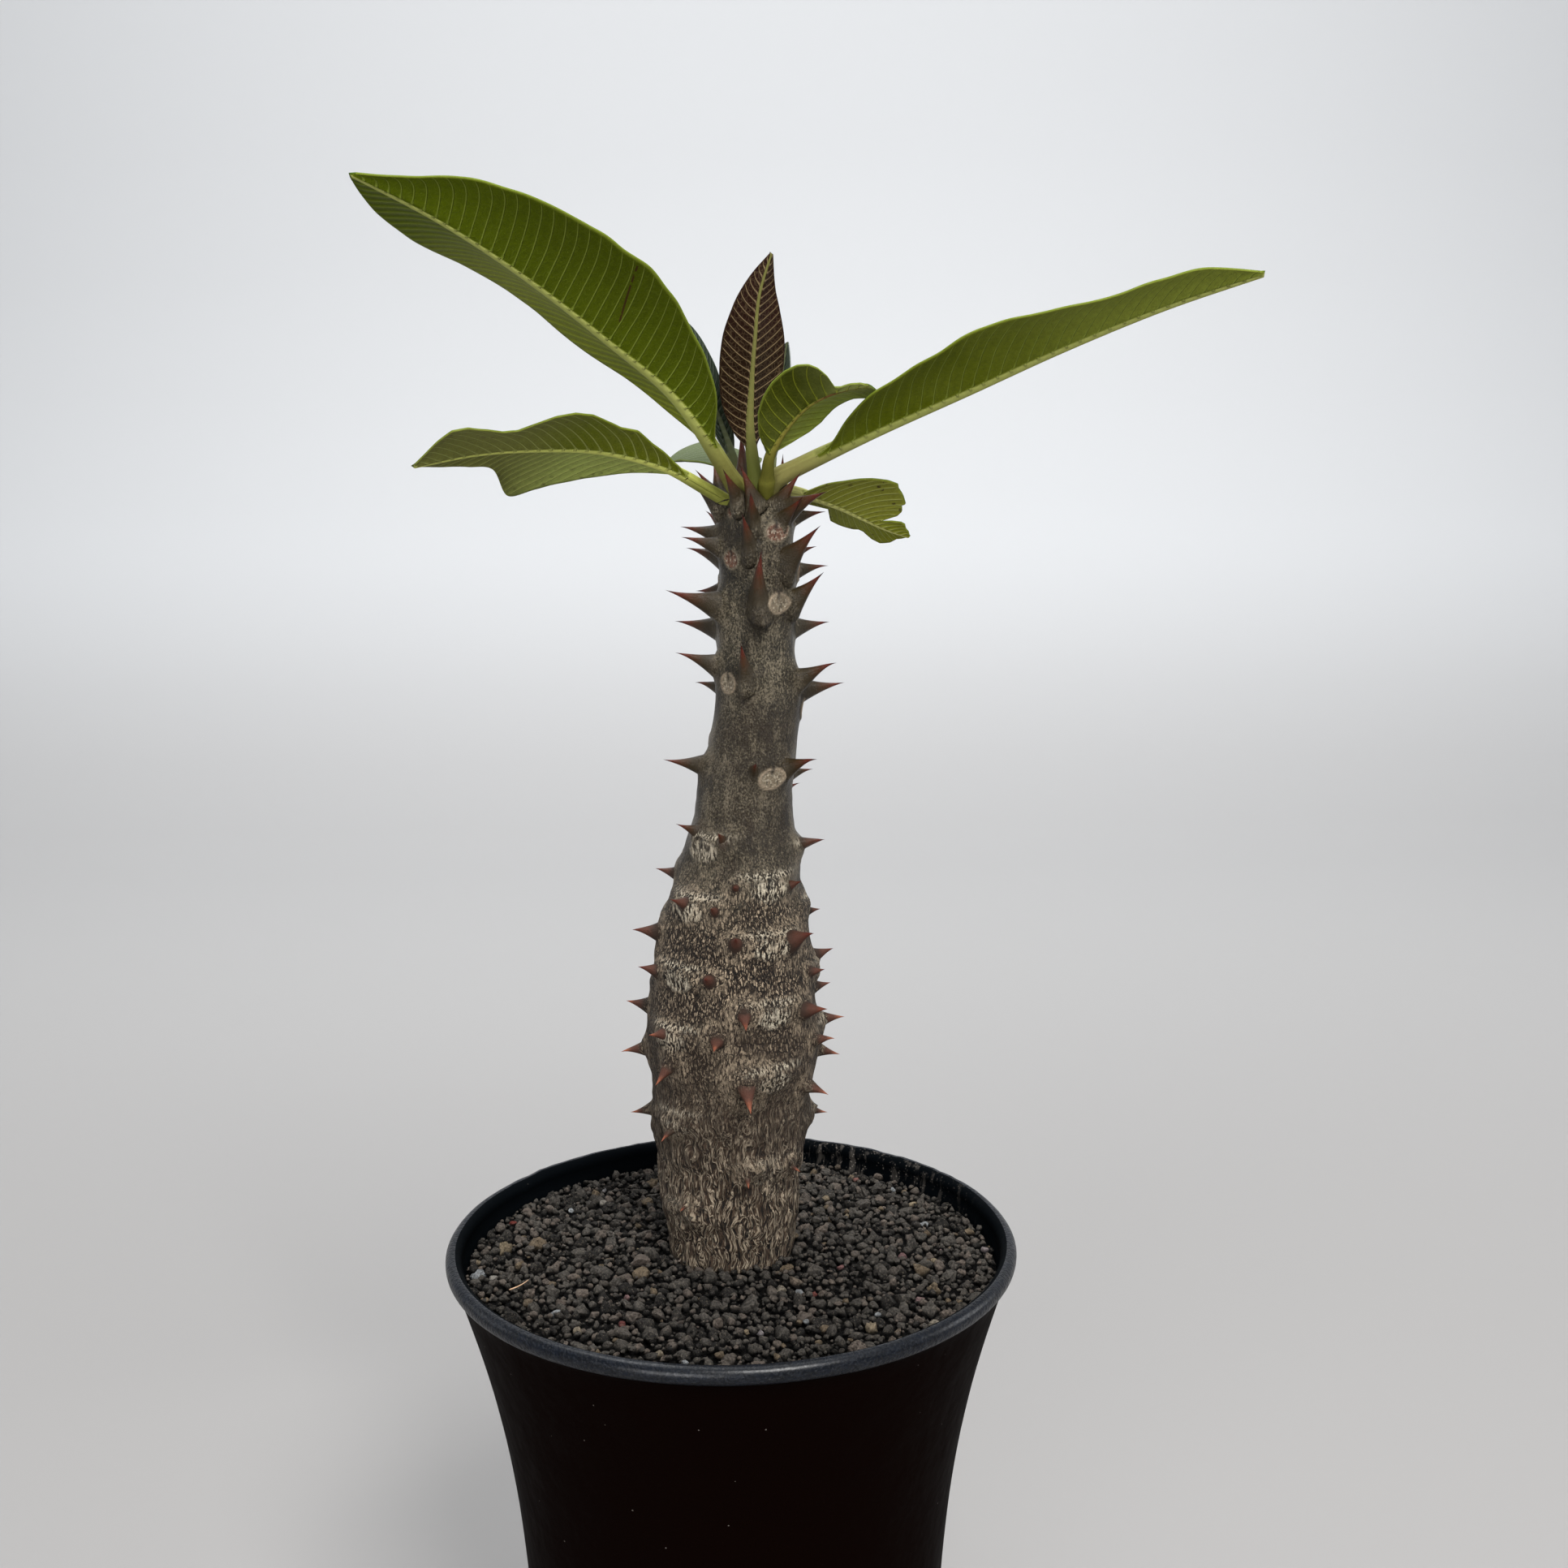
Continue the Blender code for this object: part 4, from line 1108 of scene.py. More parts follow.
@dataclass(frozen=True)
class BarkFinish:
    """Grey bark, and the horn of the spines, which grows out of it. Zones are heights in millimetres."""

    neck_dark: Colour = tint(23, 20, 15)
    neck_mid: Colour = tint(53, 48, 37)
    neck_light: Colour = tint(114, 105, 88)
    fleck: Colour = tint(152, 136, 115)
    crack_and_shadow: Colour = tint(15, 12, 10)
    brown: Colour = tint(46, 36, 27)
    low_brown: Colour = tint(72, 58, 46)
    ridge: Colour = tint(166, 152, 131)
    white: Colour = tint(190, 180, 160)
    scar_young: Colour = tint(96, 66, 52)
    scar_old: Colour = tint(112, 101, 84)
    horn_foot: Colour = tint(42, 34, 20)
    horn_middle: Colour = tint(56, 34, 16)
    horn_red: Colour = tint(76, 28, 16)
    horn_tip: Colour = tint(44, 11, 9)
    low_foot: Colour = tint(44, 31, 23)
    low_horn: Colour = tint(70, 42, 32)
    low_tip: Colour = tint(132, 76, 54)
    neck_zone: tuple = (192, 218)
    low_zone: tuple = (166, 140)
    belt_top: tuple = (178, 168)
    belt_foot: tuple = (134, 146)
    collar_top: tuple = (244, 228)
    collar_foot: tuple = (200, 210)
    young_zone: tuple = (256, 262)
    fresh_horn_zone: tuple = (200, 214)
    aged_horn_zone: tuple = (178, 165)
    hooded_zone: tuple = (158, 148)

    def middle(self, paint: Paint, patch: Value) -> tuple[Socket, Value]:
        """The widest zone: cracked brown bark with pale flecks.

        Args:
            paint: The material.
            patch: Where flecks are dense.

        Returns:
            Its colour and its relief.
        """
        net = paint.cells(paint.bend(paint.place(1.0, 2.0), 0.9, 1.2), 1.1, to_edge=True)
        dash = paint.cloud(paint.bend(paint.place(0.30, 1.05), 0.5, 0.7), 1.0, 2.0, 0.6)
        colour = paint.mix(net.step(0.01, 0.09) * dash.step(0.34, 0.44), self.crack_and_shadow, self.brown)
        fleck = dash.step(0.50, 0.60) * net.step(0.03, 0.10) * (patch.step(0.30, 0.62) * 0.45 + 0.55)
        return paint.mix(fleck, colour, self.fleck), net.step(0.0, 0.12) * 0.5 + dash * 0.9

    def lower(self, paint: Paint, place: Socket) -> tuple[Socket, Value]:
        """The zone above the gravel: long wavy fibres with pale threads.

        Args:
            paint: The material.
            place: The place on the stem.

        Returns:
            Its colour and its relief.
        """
        swirl = paint.bend(place, 0.20, 3.2)
        fibre = paint.cloud(paint.scale(swirl, 1.1, 7.0), 1.0, 0.0, 0.5)
        thread = (fibre - 0.5).size().step(0.026, 0.008).top((fibre - 0.62).size().step(0.022, 0.007))
        wisp = paint.cloud(paint.bend(paint.scale(swirl, 0.46, 3.4), 0.5, 0.9), 1.0, 2.0, 0.55)
        colour = paint.mix(wisp.step(0.34, 0.50), self.crack_and_shadow, self.low_brown)
        colour = paint.mix(wisp.step(0.53, 0.64) * 0.55, colour, self.ridge)
        colour = paint.mix(thread * wisp.step(0.34, 0.46), colour, self.ridge)
        colour = paint.mix((fibre - 0.42).size().step(0.022, 0.008) * 0.9, colour, self.crack_and_shadow)
        return colour, wisp.step(0.34, 0.62) + thread * 0.5 + fibre

    def neck(self, paint: Paint, place: Socket, patch: Value, foot: Value) -> tuple[Socket, Value]:
        """The smooth graphite neck.

        Args:
            paint: The material.
            place: The place on the stem.
            patch: Where dots are dense.
            foot: Where the bark swells into a spine.

        Returns:
            Its colour and its relief.
        """
        skin = paint.cloud(paint.bend(paint.place(0.34, 0.50), 0.7, 0.5), 1.0, 3.0, 0.65)
        streak = paint.cloud(paint.bend(paint.place(1.6, 6.0), 0.3, 1.0), 0.8, 3.0, 0.6)
        tone = skin * 0.70 + streak * 0.30 + (paint.cloud(place, 0.16, 2.0) * 0.34 - 0.17)
        colour = paint.ramp(tone, [(0.39, self.neck_dark), (0.50, self.neck_mid), (0.62, self.neck_light)])
        dots = paint.cells(place, 1.5).step(0.16, 0.08) * patch.step(0.5, 0.65)
        colour = paint.mix(dots * 0.5, colour, self.fleck)
        return paint.mix(foot * 0.7, colour, self.horn_foot), tone

    def mark(self, paint: Paint, colour: Socket, stroke: Value, neck: Value, node: Value) -> Socket:
        """Adds the leaf scars, the whitish pads under the spines and a painted shadow below each spine.

        Args:
            paint: The material.
            colour: The bark's colour.
            stroke: Short upright strokes.
            neck: The share of the neck.
            node: The share of an old scar's pad.

        Returns:
            The marked colour.
        """
        place, young = paint.place(), paint.height().step(*self.young_zone)
        colour = paint.mix(node * stroke.step(0.47, 0.40) * 0.8, colour, self.crack_and_shadow)
        colour = paint.mix(node * stroke.step(0.48, 0.57) * 0.85, colour, self.white)
        halo = paint.number("halo") * stroke.step(0.42, 0.56)
        colour = paint.mix(halo * (1.0 - neck * 0.8) * 0.55, colour, self.fleck)
        disc = paint.mix(young, self.scar_old, self.scar_young)
        disc = paint.mix(stroke.step(0.44, 0.36) * 0.6, disc, self.crack_and_shadow)
        disc = paint.mix(paint.cloud(place, 1.8, 3.0).step(0.46, 0.66) * 0.45, disc, self.white)
        colour = paint.mix(paint.number("scar"), colour, disc)
        colour = paint.mix(paint.number("rim") * 0.8, colour, paint.mix(young, self.fleck, self.neck_light))
        colour = paint.mix(paint.number("bud"), colour, self.crack_and_shadow)
        # Painted shadow below each spine, in the dark colour of the cracks
        return paint.mix(paint.number("shade") * 0.7, colour, self.crack_and_shadow)

    def grow_horn(self, paint: Paint, colour: Socket, reach: Value, foot: Value) -> Socket:
        """Turns the bark into horn along the spines, which is redder high up and browner low down.

        Args:
            paint: The material.
            colour: The bark's colour.
            reach: How far out on a spine a place is.
            foot: Where the bark swells into a spine.

        Returns:
            The colour of bark and spines.
        """
        height = paint.height()
        wander = reach + (paint.cloud(paint.place(), 0.9, 3.0, 0.6) - 0.5) * 0.24
        fresh = colour
        for low, high, horn in (
            (0.02, 0.30, self.horn_foot), (0.26, 0.55, self.horn_middle),
            (0.50, 0.78, self.horn_red), (0.76, 0.96, self.horn_tip),
        ):
            fresh = paint.mix(wander.step(low, high), fresh, horn)
        aged = height.step(*self.aged_horn_zone)
        old = paint.mix((wander + foot * (0.9 - 0.7 * aged)).step(0.30, 0.75), colour, self.low_foot)
        old = paint.mix((wander - height.step(*self.hooded_zone) * 0.20).step(0.16, 0.46), old, self.low_horn)
        tip = paint.mix(aged, self.horn_red, self.low_tip)
        old = paint.mix(wander.step(0.55, 0.85) * 0.85, old, tip)
        return paint.mix(height.step(*self.fresh_horn_zone), old, fresh)

    def make(self) -> Material:
        """Makes the material.

        Returns:
            The material.
        """
        paint = Paint("grey_bark")
        place, height = paint.place(), paint.height()
        reach, foot = paint.number("reach"), paint.number("foot")
        neck = (height + paint.cloud(place, 0.12, 2.0) * 14.0).step(*self.neck_zone)
        low = height.step(*self.low_zone)
        patch = paint.cloud(place, 0.33, 3.0)
        middle, middle_relief = self.middle(paint, patch)
        lower, lower_relief = self.lower(paint, place)
        upper, upper_relief = self.neck(paint, place, patch, foot)
        colour = paint.mix(neck, paint.mix(low, middle, lower), upper)
        stain = paint.cloud(place, 0.15, 3.0).step(0.50, 0.66)
        belt = height.step(*self.belt_top) * height.step(*self.belt_foot)
        collar = height.step(*self.collar_top) * height.step(*self.collar_foot)
        colour = paint.mix(stain * 0.22 + belt * 0.38 + collar * 0.30, colour, self.brown)
        stroke = paint.cloud(paint.bend(paint.place(0.42, 1.6), 0.6, 0.5), 1.0, 2.0, 0.6)
        node = paint.number("node") * (1.0 - low * 0.75)
        colour = self.mark(paint, colour, stroke, neck, node)
        colour = self.grow_horn(paint, colour, reach, foot)
        plain = (1.0 - reach.step(0.0, 0.25)) * (1.0 - foot * 0.7)
        swell = middle_relief * (1.0 - neck) * (1.0 - low)
        swell = swell + lower_relief * low * 1.4 + upper_relief * neck * 1.5
        normal = paint.bump((swell + (paint.number("scar") + node) * stroke) * plain, 0.00055)
        normal = paint.bump(paint.cloud(place, 3.2, 4.0, 0.6), 0.00020, normal)
        return paint.finish(colour, 0.74 - 0.40 * neck - 0.08 * reach, normal, Specular_IOR_Level=0.22)


def keep_most(found: dict[str, Array], name: str, values: Array) -> None:
    """Raises one of the found shares wherever the values are larger."""
    found[name] = np.maximum(found[name], values)


@dataclass
class Stem:
    """The swollen stem with its folds, scars and spines."""

    sides: int = 220
    rows: int = 440
    dome_rows: int = 22
    crown_top: float = 0.2758
    smoothing: int = 15
    least_radius: float = 0.004
    scar_width: float = 0.0032
    scar_narrowing: float = 0.0013
    top_scar_width: float = 0.0017
    scar_height: float = 0.0020
    fold_width: float = 0.0088
    fold_height: float = 0.0027
    fold_lift: float = 0.0012
    pair_gap: float = 0.0052
    seen_to: float = 128.0
    spine_seed: int = 11
    shape_seed: int = 29
    spine_sides: int = 16
    spine_rows: int = 20
    foot_out: float = 0.0006
    foot_buried: float = 0.0016
    foot_sunk: float = 0.0010
    bark: BarkFinish = BarkFinish()

    def build(self) -> None:
        """Makes the body and the spines, which share one finish."""
        material = self.bark.make()
        scars = self.find_scars()
        spines = self.find_spines(scars)
        self.build_body(scars, spines, material)
        chance = random.Random(self.shape_seed)
        shape = gather([self.spine_shape(spine, chance) for spine in spines])
        add_piece("stem_spines", shape, material, "stem")

    def find_scars(self) -> list[Scar]:
        """Every leaf scar, from the crown down. The narrow young ones are high up.

        Returns:
            The scars.
        """
        numbers, heights = np.array(SCAR_HEIGHTS).T
        found = []
        for number in range(int(numbers[0]), int(numbers[-1]) + 1):
            height = float(np.interp(number, numbers, heights)) / 1000
            width = self.scar_width - self.scar_narrowing * float(fade(0.185, 0.240, height))
            if number == numbers[0]:
                width = self.top_scar_width
            azimuth = centred(FIRST_AZIMUTH + TURN * number)
            found.append(Scar(azimuth, height, width, min(width, self.scar_height)))
        return found

    def find_spines(self, scars: list[Scar]) -> list[Spine]:
        """Every spine: those in view one by one, those behind in pairs over the scars.

        Args:
            scars: Every leaf scar.

        Returns:
            The spines.
        """
        placed = []
        for foot, tip in (np.array(pair) / 1000 for pair in CROWN_SPINES):
            root = foot - unit(tip - foot) * self.foot_sunk
            placed.append(Spine(root, tip, 0.0, float(foot[2]), float(np.linalg.norm(tip - foot)), True))
        chance = random.Random(self.spine_seed)
        rows = []
        for azimuth, height, length, slope in SEEN_SPINES:
            rows.append((azimuth, height / 1000, length / 1000, slope, 0.0))
        heights, lengths, slopes = np.array(HIDDEN_SPINES).T
        for scar in scars:
            height = scar.height + self.fold_lift
            for hand in (-1, 1):
                azimuth = centred(scar.azimuth + hand * math.degrees(self.pair_gap / stem_radius(height)))
                if abs(azimuth) < self.seen_to:
                    continue
                length = float(np.interp(height * 1000, heights, lengths)) / 1000 * chance.uniform(0.85, 1.1)
                slope = float(np.interp(height * 1000, heights, slopes)) + chance.uniform(-10, 10)
                rows.append((azimuth, height, length, slope, hand * 10.0))
        for azimuth, height, length, slope, sweep in rows:
            surface = stem_axis(height) + outward(azimuth) * (stem_radius(height) + self.foot_out)
            lift = math.radians(slope)
            way = outward(azimuth + sweep) * math.cos(lift) + np.array((0.0, 0.0, math.sin(lift)))
            root = surface - way * self.foot_buried - outward(azimuth) * self.foot_sunk
            placed.append(Spine(root, surface + way * length, azimuth, height, length))
        return placed

    def profile(self) -> tuple[Array, Array, Array]:
        """The smoothed profile from the foot to the crown's top.

        Returns:
            Heights, radii and leans.
        """
        stations, leans, radii = np.array(STEM_STATIONS).T / 1000
        body = np.linspace(stations[0], stations[-1], self.rows + 1 - self.dome_rows)
        rise = np.linspace(0, math.pi / 2, self.dome_rows + 1)[1:]
        dome = stations[-1] + (self.crown_top - stations[-1]) * np.sin(rise)
        heights = np.concatenate([body, dome])
        kernel = np.hanning(self.smoothing) / np.hanning(self.smoothing).sum()
        pad = self.smoothing // 2
        radius, lean = (
            np.convolve(np.pad(np.interp(places, stations, values), pad, mode="edge"), kernel, "valid")
            for places, values in ((body, radii), (heights, leans))
        )
        return heights, np.concatenate([radius, radius[-1] * np.cos(rise)]), lean

    def add_scars(
        self, scars: list[Scar], azimuth: Array, height: Array, base: Array
    ) -> dict[str, Array]:
        """Works out what the leaf scars do to the surface.

        Args:
            scars: Every leaf scar.
            azimuth: Azimuth of each point.
            height: Height of each point.
            base: Mean radius at each point.

        Returns:
            The swelling in metres, and shares for the finish to read.
        """
        found = {name: np.zeros_like(base) for name in ("swell", "scar", "rim", "node", "bud")}
        for scar in scars:
            across = np.radians(centred(azimuth - scar.azimuth)) * base
            along = height - scar.height
            age = float(fade(0.214, 0.203, scar.height))
            rho = np.hypot(across / scar.half_width, along / scar.half_height)
            fold = bell(across, self.fold_width) * bell(along - self.fold_lift, self.fold_height)
            found["swell"] += fold * (0.0002 + 0.0010 * age)
            found["swell"] += bell(rho, 1.4) * 0.00035 * (1 - 0.7 * age)
            found["swell"] += bell(rho - 1, 0.15) * (0.00026 - 0.00016 * age)
            found["swell"] -= smooth_step(1.0, 0.7, rho) * 0.00016
            keep_most(found, "scar", smooth_step(1.02, 0.84, rho) * (1 - age))
            keep_most(found, "rim", bell(rho - 1, 0.12) * (1 - age))
            keep_most(found, "node", smooth_step(1.25, 0.75, np.hypot(across / 0.0036, along / 0.0021)) * age)
            keep_most(found, "node", np.exp(-((across / 0.0062) ** 4)) * bell(along - 0.0031, 0.0007) * age)
            slit = smooth_step(0.0002, 0.0010, along) * smooth_step(0.0034, 0.0022, along)
            keep_most(found, "bud", bell(across, 0.00032) * slit * 0.85)
        return found

    def add_feet(
        self, spines: list[Spine], azimuth: Array, height: Array, base: Array
    ) -> dict[str, Array]:
        """Works out how the surface rises into the spines.

        Args:
            spines: Every spine.
            azimuth: Azimuth of each point.
            height: Height of each point.
            base: Mean radius at each point.

        Returns:
            The swelling in metres, and shares for the finish to read.
        """
        found = {name: np.zeros_like(base) for name in ("swell", "foot", "halo", "shade")}
        for spine in spines:
            if spine.crowned:
                continue
            across = np.radians(centred(azimuth - spine.azimuth)) * base
            along = height - spine.height
            old = float(fade(0.215, 0.200, spine.height))
            size = spine.length
            reach = np.where(along > 0, size * (0.15 + 0.12 * old), size * (0.33 + 0.04 * old))
            rho = np.hypot(across / (size * (0.155 + 0.15 * old)), along / reach)
            lifted = 0.34 * size * np.exp(-rho) * smooth_step(4.5, 1.5, rho)
            found["swell"] = np.maximum(found["swell"], lifted) + np.minimum(found["swell"], lifted) * 0.4
            keep_most(found, "foot", bell(rho, 1.5 - 0.5 * old))
            keep_most(found, "halo", bell(rho - 1.9, 0.6) * old)
            # Where the spine's painted shadow lies on the bark below it
            under = bell(across, size * 0.15) * bell(along + size * 0.62, size * 0.16)
            keep_most(found, "shade", under * 0.4)
        return found

    def build_body(self, scars: list[Scar], spines: list[Spine], material: Material) -> None:
        """Makes the body: its profile, folds, scars, spine feet and uneven bark.

        Args:
            scars: Every leaf scar.
            spines: Every spine.
            material: Its finish.
        """
        heights, radii, lean = self.profile()
        azimuth, height = np.meshgrid(np.linspace(-180, 180, self.sides + 1), heights)
        base = np.repeat(radii[:, None], self.sides + 1, 1)
        above_bed = smooth_step(0.1160, 0.1200, height)
        below_dome = smooth_step(0.2735, 0.268, height)
        low = smooth_step(0.165, 0.138, height)
        neck = smooth_step(0.195, 0.225, height)
        marks = self.add_scars(scars, azimuth, height, np.maximum(base, self.least_radius))
        feet = self.add_feet(spines, azimuth, height, np.maximum(base, self.least_radius))
        radius = base + (marks.pop("swell") + feet.pop("swell")) * above_bed * (0.2 + 0.8 * below_dome)

        angle = np.radians(azimuth)
        points = np.stack([lean[:, None] + radius * np.sin(angle), -radius * np.cos(angle), height], 2)
        lumps, bark, wrinkle = (
            relief(points.reshape(-1, 3), size, seed).reshape(radius.shape)
            for size, seed in (
                ((0.007, 0.007, 0.010), 1.3),
                ((0.0015, 0.0015, 0.0056), 8.1),
                ((0.0075, 0.0075, 0.0019), 4.4),
            )
        )
        push = lumps * (0.00042 - 0.00030 * neck) + bark * (0.00010 + 0.00042 * low - 0.00007 * neck)
        push += wrinkle * (0.00022 - 0.00018 * neck)
        push *= above_bed * below_dome * (1 - 0.8 * feet["foot"])
        points[:, :, 0] += push * np.sin(angle)
        points[:, :, 1] -= push * np.cos(angle)
        shape = Skin(self.sides, self.rows).wrap(points, {**marks, **feet})
        add_piece("stem_bark", shape, material, "stem")

    def spine_shape(self, spine: Spine, chance: random.Random) -> Shape:
        """Makes one spine: a flattened hollow-sided cone, a little curved, its foot drawn down the stem.

        Args:
            spine: Where it stands.
            chance: Gives its irregularities.

        Returns:
            The shape.
        """
        axis = spine.tip - spine.root
        whole = float(np.linalg.norm(axis))
        side = np.cross(axis / whole, (0.0, 0.0, 1.0))
        side = unit(side) if np.linalg.norm(side) > 0.05 else np.array((1.0, 0.0, 0.0))
        up = np.cross(side, axis / whole)
        old = float(fade(0.215, 0.185, spine.height))
        low = float(fade(0.172, 0.162, spine.height))
        shares = np.linspace(0, 1, self.spine_rows + 1)[:, None] ** 0.9
        out = (shares * whole - (whole - spine.length)) / spine.length
        left = (1 - np.clip(out, -0.12, 1.0)) * spine.length
        squared = left**2 / spine.length
        sideways = left * (0.12 + (0.12 - 0.04 * low) * old) + squared * (0.08 + 0.08 * old)
        above = left * (0.08 + (0.11 - 0.04 * low) * old) + squared * (0.11 + 0.03 * old)
        beneath = left * (0.10 + (0.13 - 0.06 * low) * old) + squared * (0.28 - 0.06 * old)
        hook, lean = chance.uniform(-0.03, 0.07), chance.uniform(-0.035, 0.035)
        bow = np.sin(math.pi * shares)
        centre = spine.root + axis * shares + side * whole * lean * bow
        centre += up * whole * (hook * shares**3 * (1 - shares) * 4 - 0.02 * bow)
        angle = np.linspace(0, 2 * math.pi, self.spine_sides + 1)[None]
        tall = np.sin(angle) * np.where(np.sin(angle) > 0, above, beneath)
        wide = np.cos(angle) * sideways
        points = centre[:, None] + wide[..., None] * side + tall[..., None] * up
        reach = np.repeat(np.clip(out, 0, 1), self.spine_sides + 1, 1)
        numbers = {"reach": reach, "foot": 0.5 + 0.5 * smooth_step(0.0, 0.2, reach)}
        return Skin(self.spine_sides, self.spine_rows).wrap(points, numbers)


@dataclass(frozen=True)
class LeafFinish:
    """A leaf's colours and its veins in millimetres. Right and left are the halves of its lower face. Their
    colours differ partly by the leaf's own tone and partly by painted light: a dark saturated half stands in
    for light shining through the blade, and a pale half for sheen seen at a grazing angle.
    """

    name: str
    right: Colour
    left: Colour
    tip: Colour
    vein: Colour
    rib: Colour
    stalk: Colour
    upper: Colour = tint(56, 84, 14)
    margin: Colour = tint(120, 130, 48)
    rust: Colour = tint(104, 66, 42)
    tear: Colour = tint(50, 28, 12)
    spot: Colour = tint(44, 28, 20)
    spacing: float = 3.0
    vein_width: float = 0.15
    vein_share: float = 0.50
    sweep: float = 0.30
    bend: float = 2.6
    right_ribbed: float = 0.12
    left_ribbed: float = 0.12
    speckle: float = 0.25
    net: float = 0.06
    tip_from: float = 0.75
    spots: float = 0.0
    rusty: float = 0.0
    scratch: tuple = ()

    def torn(self, paint: Paint, along: Value, across: Value) -> Value:
        """Where the scratch is, which runs straight between two places on the sheet.

        Args:
            paint: The material.
            along: The distance from the blade's foot.
            across: The distance from the rib, to the right.

        Returns:
            The scratch's share.
        """
        (first, low), (last, high) = self.scratch
        run, rise = last - first, high - low
        length = math.hypot(run, rise)
        part = ((along - first) * run + (across - low) * rise) / length**2
        off = (((along - first) * rise - (across - low) * run) / length).size()
        broken = paint.cloud(paint.place(), 0.55, 2.0).step(0.44, 0.50)
        return off.step(0.26, 0.10) * (part.step(0.0, 0.03) * part.step(1.0, 0.97) * broken) * 0.9

    def make(self) -> Material:
        """Makes the material.

        Returns:
            The material.
        """
        paint = Paint(self.name)
        along, across, reach = (paint.number(name) for name in ("along", "across", "reach"))
        under, on_rib, stalk, tipward = (paint.number(name) for name in ("under", "rib", "stalk", "tipward"))
        sheet, place = paint.flat(along, across), paint.place()
        out, edgeward = across.size(), reach.size()
        on_right = across.step(-0.2, 0.2)
        ribbed = on_right * (self.right_ribbed - self.left_ribbed) + self.left_ribbed
        broad = paint.cloud(place, 0.10, 2.0)
        grain = paint.cloud(place, 1.3, 4.0, 0.65)

        wander = (paint.cloud(paint.flat(along * 0.10, across * 0.07), 1.0, 1.0) - 0.5) * 0.35
        lag = out * self.sweep * (tipward * 1.1 + 0.45) + (edgeward ** 3.0) * self.bend
        phase = (along - lag) / self.spacing + on_right * 0.45 + wander
        line = (phase.part() - 0.5).size() * 2.0
        thin = self.vein_width / self.spacing * 2
        vein = line.step(thin * 1.4, thin * 0.4) * edgeward.step(1.0, 0.90)
        vein = vein.top(line.step(thin * 2.6, thin) * out.step(1.1, 0.2))
        ridge = line.step(1.0, 0.1)
        mesh = paint.cells(paint.bend(sheet, 0.7, 0.9), 1.0, to_edge=True).step(0.07, 0.015)
        dots = paint.cells(paint.bend(sheet, 1.3, 0.5), 1.0).step(0.13, 0.06)
        edge = edgeward.step(0.965, 0.992)

        # The halves' colours differ partly by the leaf's own tone and partly by painted light: light through
        # the blade and sheen at a grazing angle
        below = paint.mix(on_right, self.left, self.right)
        below = paint.mix(tipward.step(self.tip_from - 0.25, self.tip_from + 0.1), below, self.tip)
        below = paint.mix(broad.step(0.35, 0.7) * 0.35, below, paint.mix(0.5, below, self.tip))
        below = paint.mix(grain.step(0.35, 0.6) * 0.5 + 0.5, paint.dim(0.32, below), below)
        # Painted shade and highlight on the ribbed folds: the valleys darker, the ridges lighter towards the
        # vein colour
        folds = paint.mix(ridge, paint.dim(0.45, below), paint.mix(0.40, below, self.vein))
        below = paint.mix(ribbed, below, folds)
        for share in (mesh * self.net, dots * self.speckle, vein * self.vein_share):
            below = paint.mix(share, below, self.vein)
        below = paint.mix(edge * 0.35, below, self.margin)

        rib = paint.mix(grain.step(0.3, 0.7) * 0.25, self.rib, blend(self.rib, BLACK, 0.35))
        rib = paint.mix(stalk, rib, paint.mix(grain * 0.4, self.stalk, self.rib))
        rib = paint.mix(tipward.step(0.52, 0.70) * self.rusty, rib, self.rust)
        below = paint.mix(on_rib.step(0.02, 0.22), below, rib)
        if self.scratch:
            below = paint.mix(self.torn(paint, along, across), below, self.tear)

        above = paint.mix(broad.step(0.3, 0.7) * 0.5, self.upper, blend(self.upper, self.tip, 0.5))
        above = paint.mix(vein * 0.35, above, self.vein)
        above = paint.mix(edge * 0.5, above, self.margin)
        above = paint.mix(on_rib.step(0.2, 0.6) * 0.8, above, self.rib)
        above = paint.mix(stalk, above, rib)
        colour = paint.mix(under.step(0.3, 0.7), above, below)
        if self.spots:
            marks = paint.cells(paint.bend(place, 0.6, 1.0), 0.45).step(0.26, 0.14) * grain.step(0.42, 0.52)
            colour = paint.mix(marks * self.spots * edgeward.step(0.45, 0.8), colour, self.spot)

        swelling = vein * 0.7 + ridge * ribbed * 1.2 + mesh * 0.10
        height = swelling * (under.step(0.3, 0.7) * 2.0 - 1.0) * on_rib.step(0.5, 0.1)
        normal = paint.bump(grain, 0.00010, paint.bump(height, 0.00032))
        rough = 0.58 - 0.14 * (1.0 - under) + 0.08 * grain
        return paint.finish(colour, rough, normal, Specular_IOR_Level=0.07)


@dataclass(frozen=True)
class Half:
    """One half of a blade from its foot to its tip.

    Widths are in millimetres and evenly spaced, or pairs of place and width where the half has notches.
    Lifts are in degrees. A wave has a height in millimetres, a count and a start.
    """

    widths: tuple
    lifts: tuple
    wave: tuple = (0.0, 1.0, 0.0)

    def width(self, blade: Array) -> Array:
        """How wide the half is.

        Args:
            blade: Places along the blade, from 0 to 1.

        Returns:
            The widths there in metres.
        """
        if isinstance(self.widths[0], tuple):
            places, sizes = np.array(self.widths).T
            return np.interp(blade, places, sizes) / 1000
        return smooth_path(self.widths, blade) / 1000

    def rise(self, blade: Array) -> Array:
        """The wave's height in metres at those places."""
        height, count, start = self.wave
        return height / 1000 * np.sin(2 * np.pi * (count * blade + start)) * np.sin(np.pi * blade)


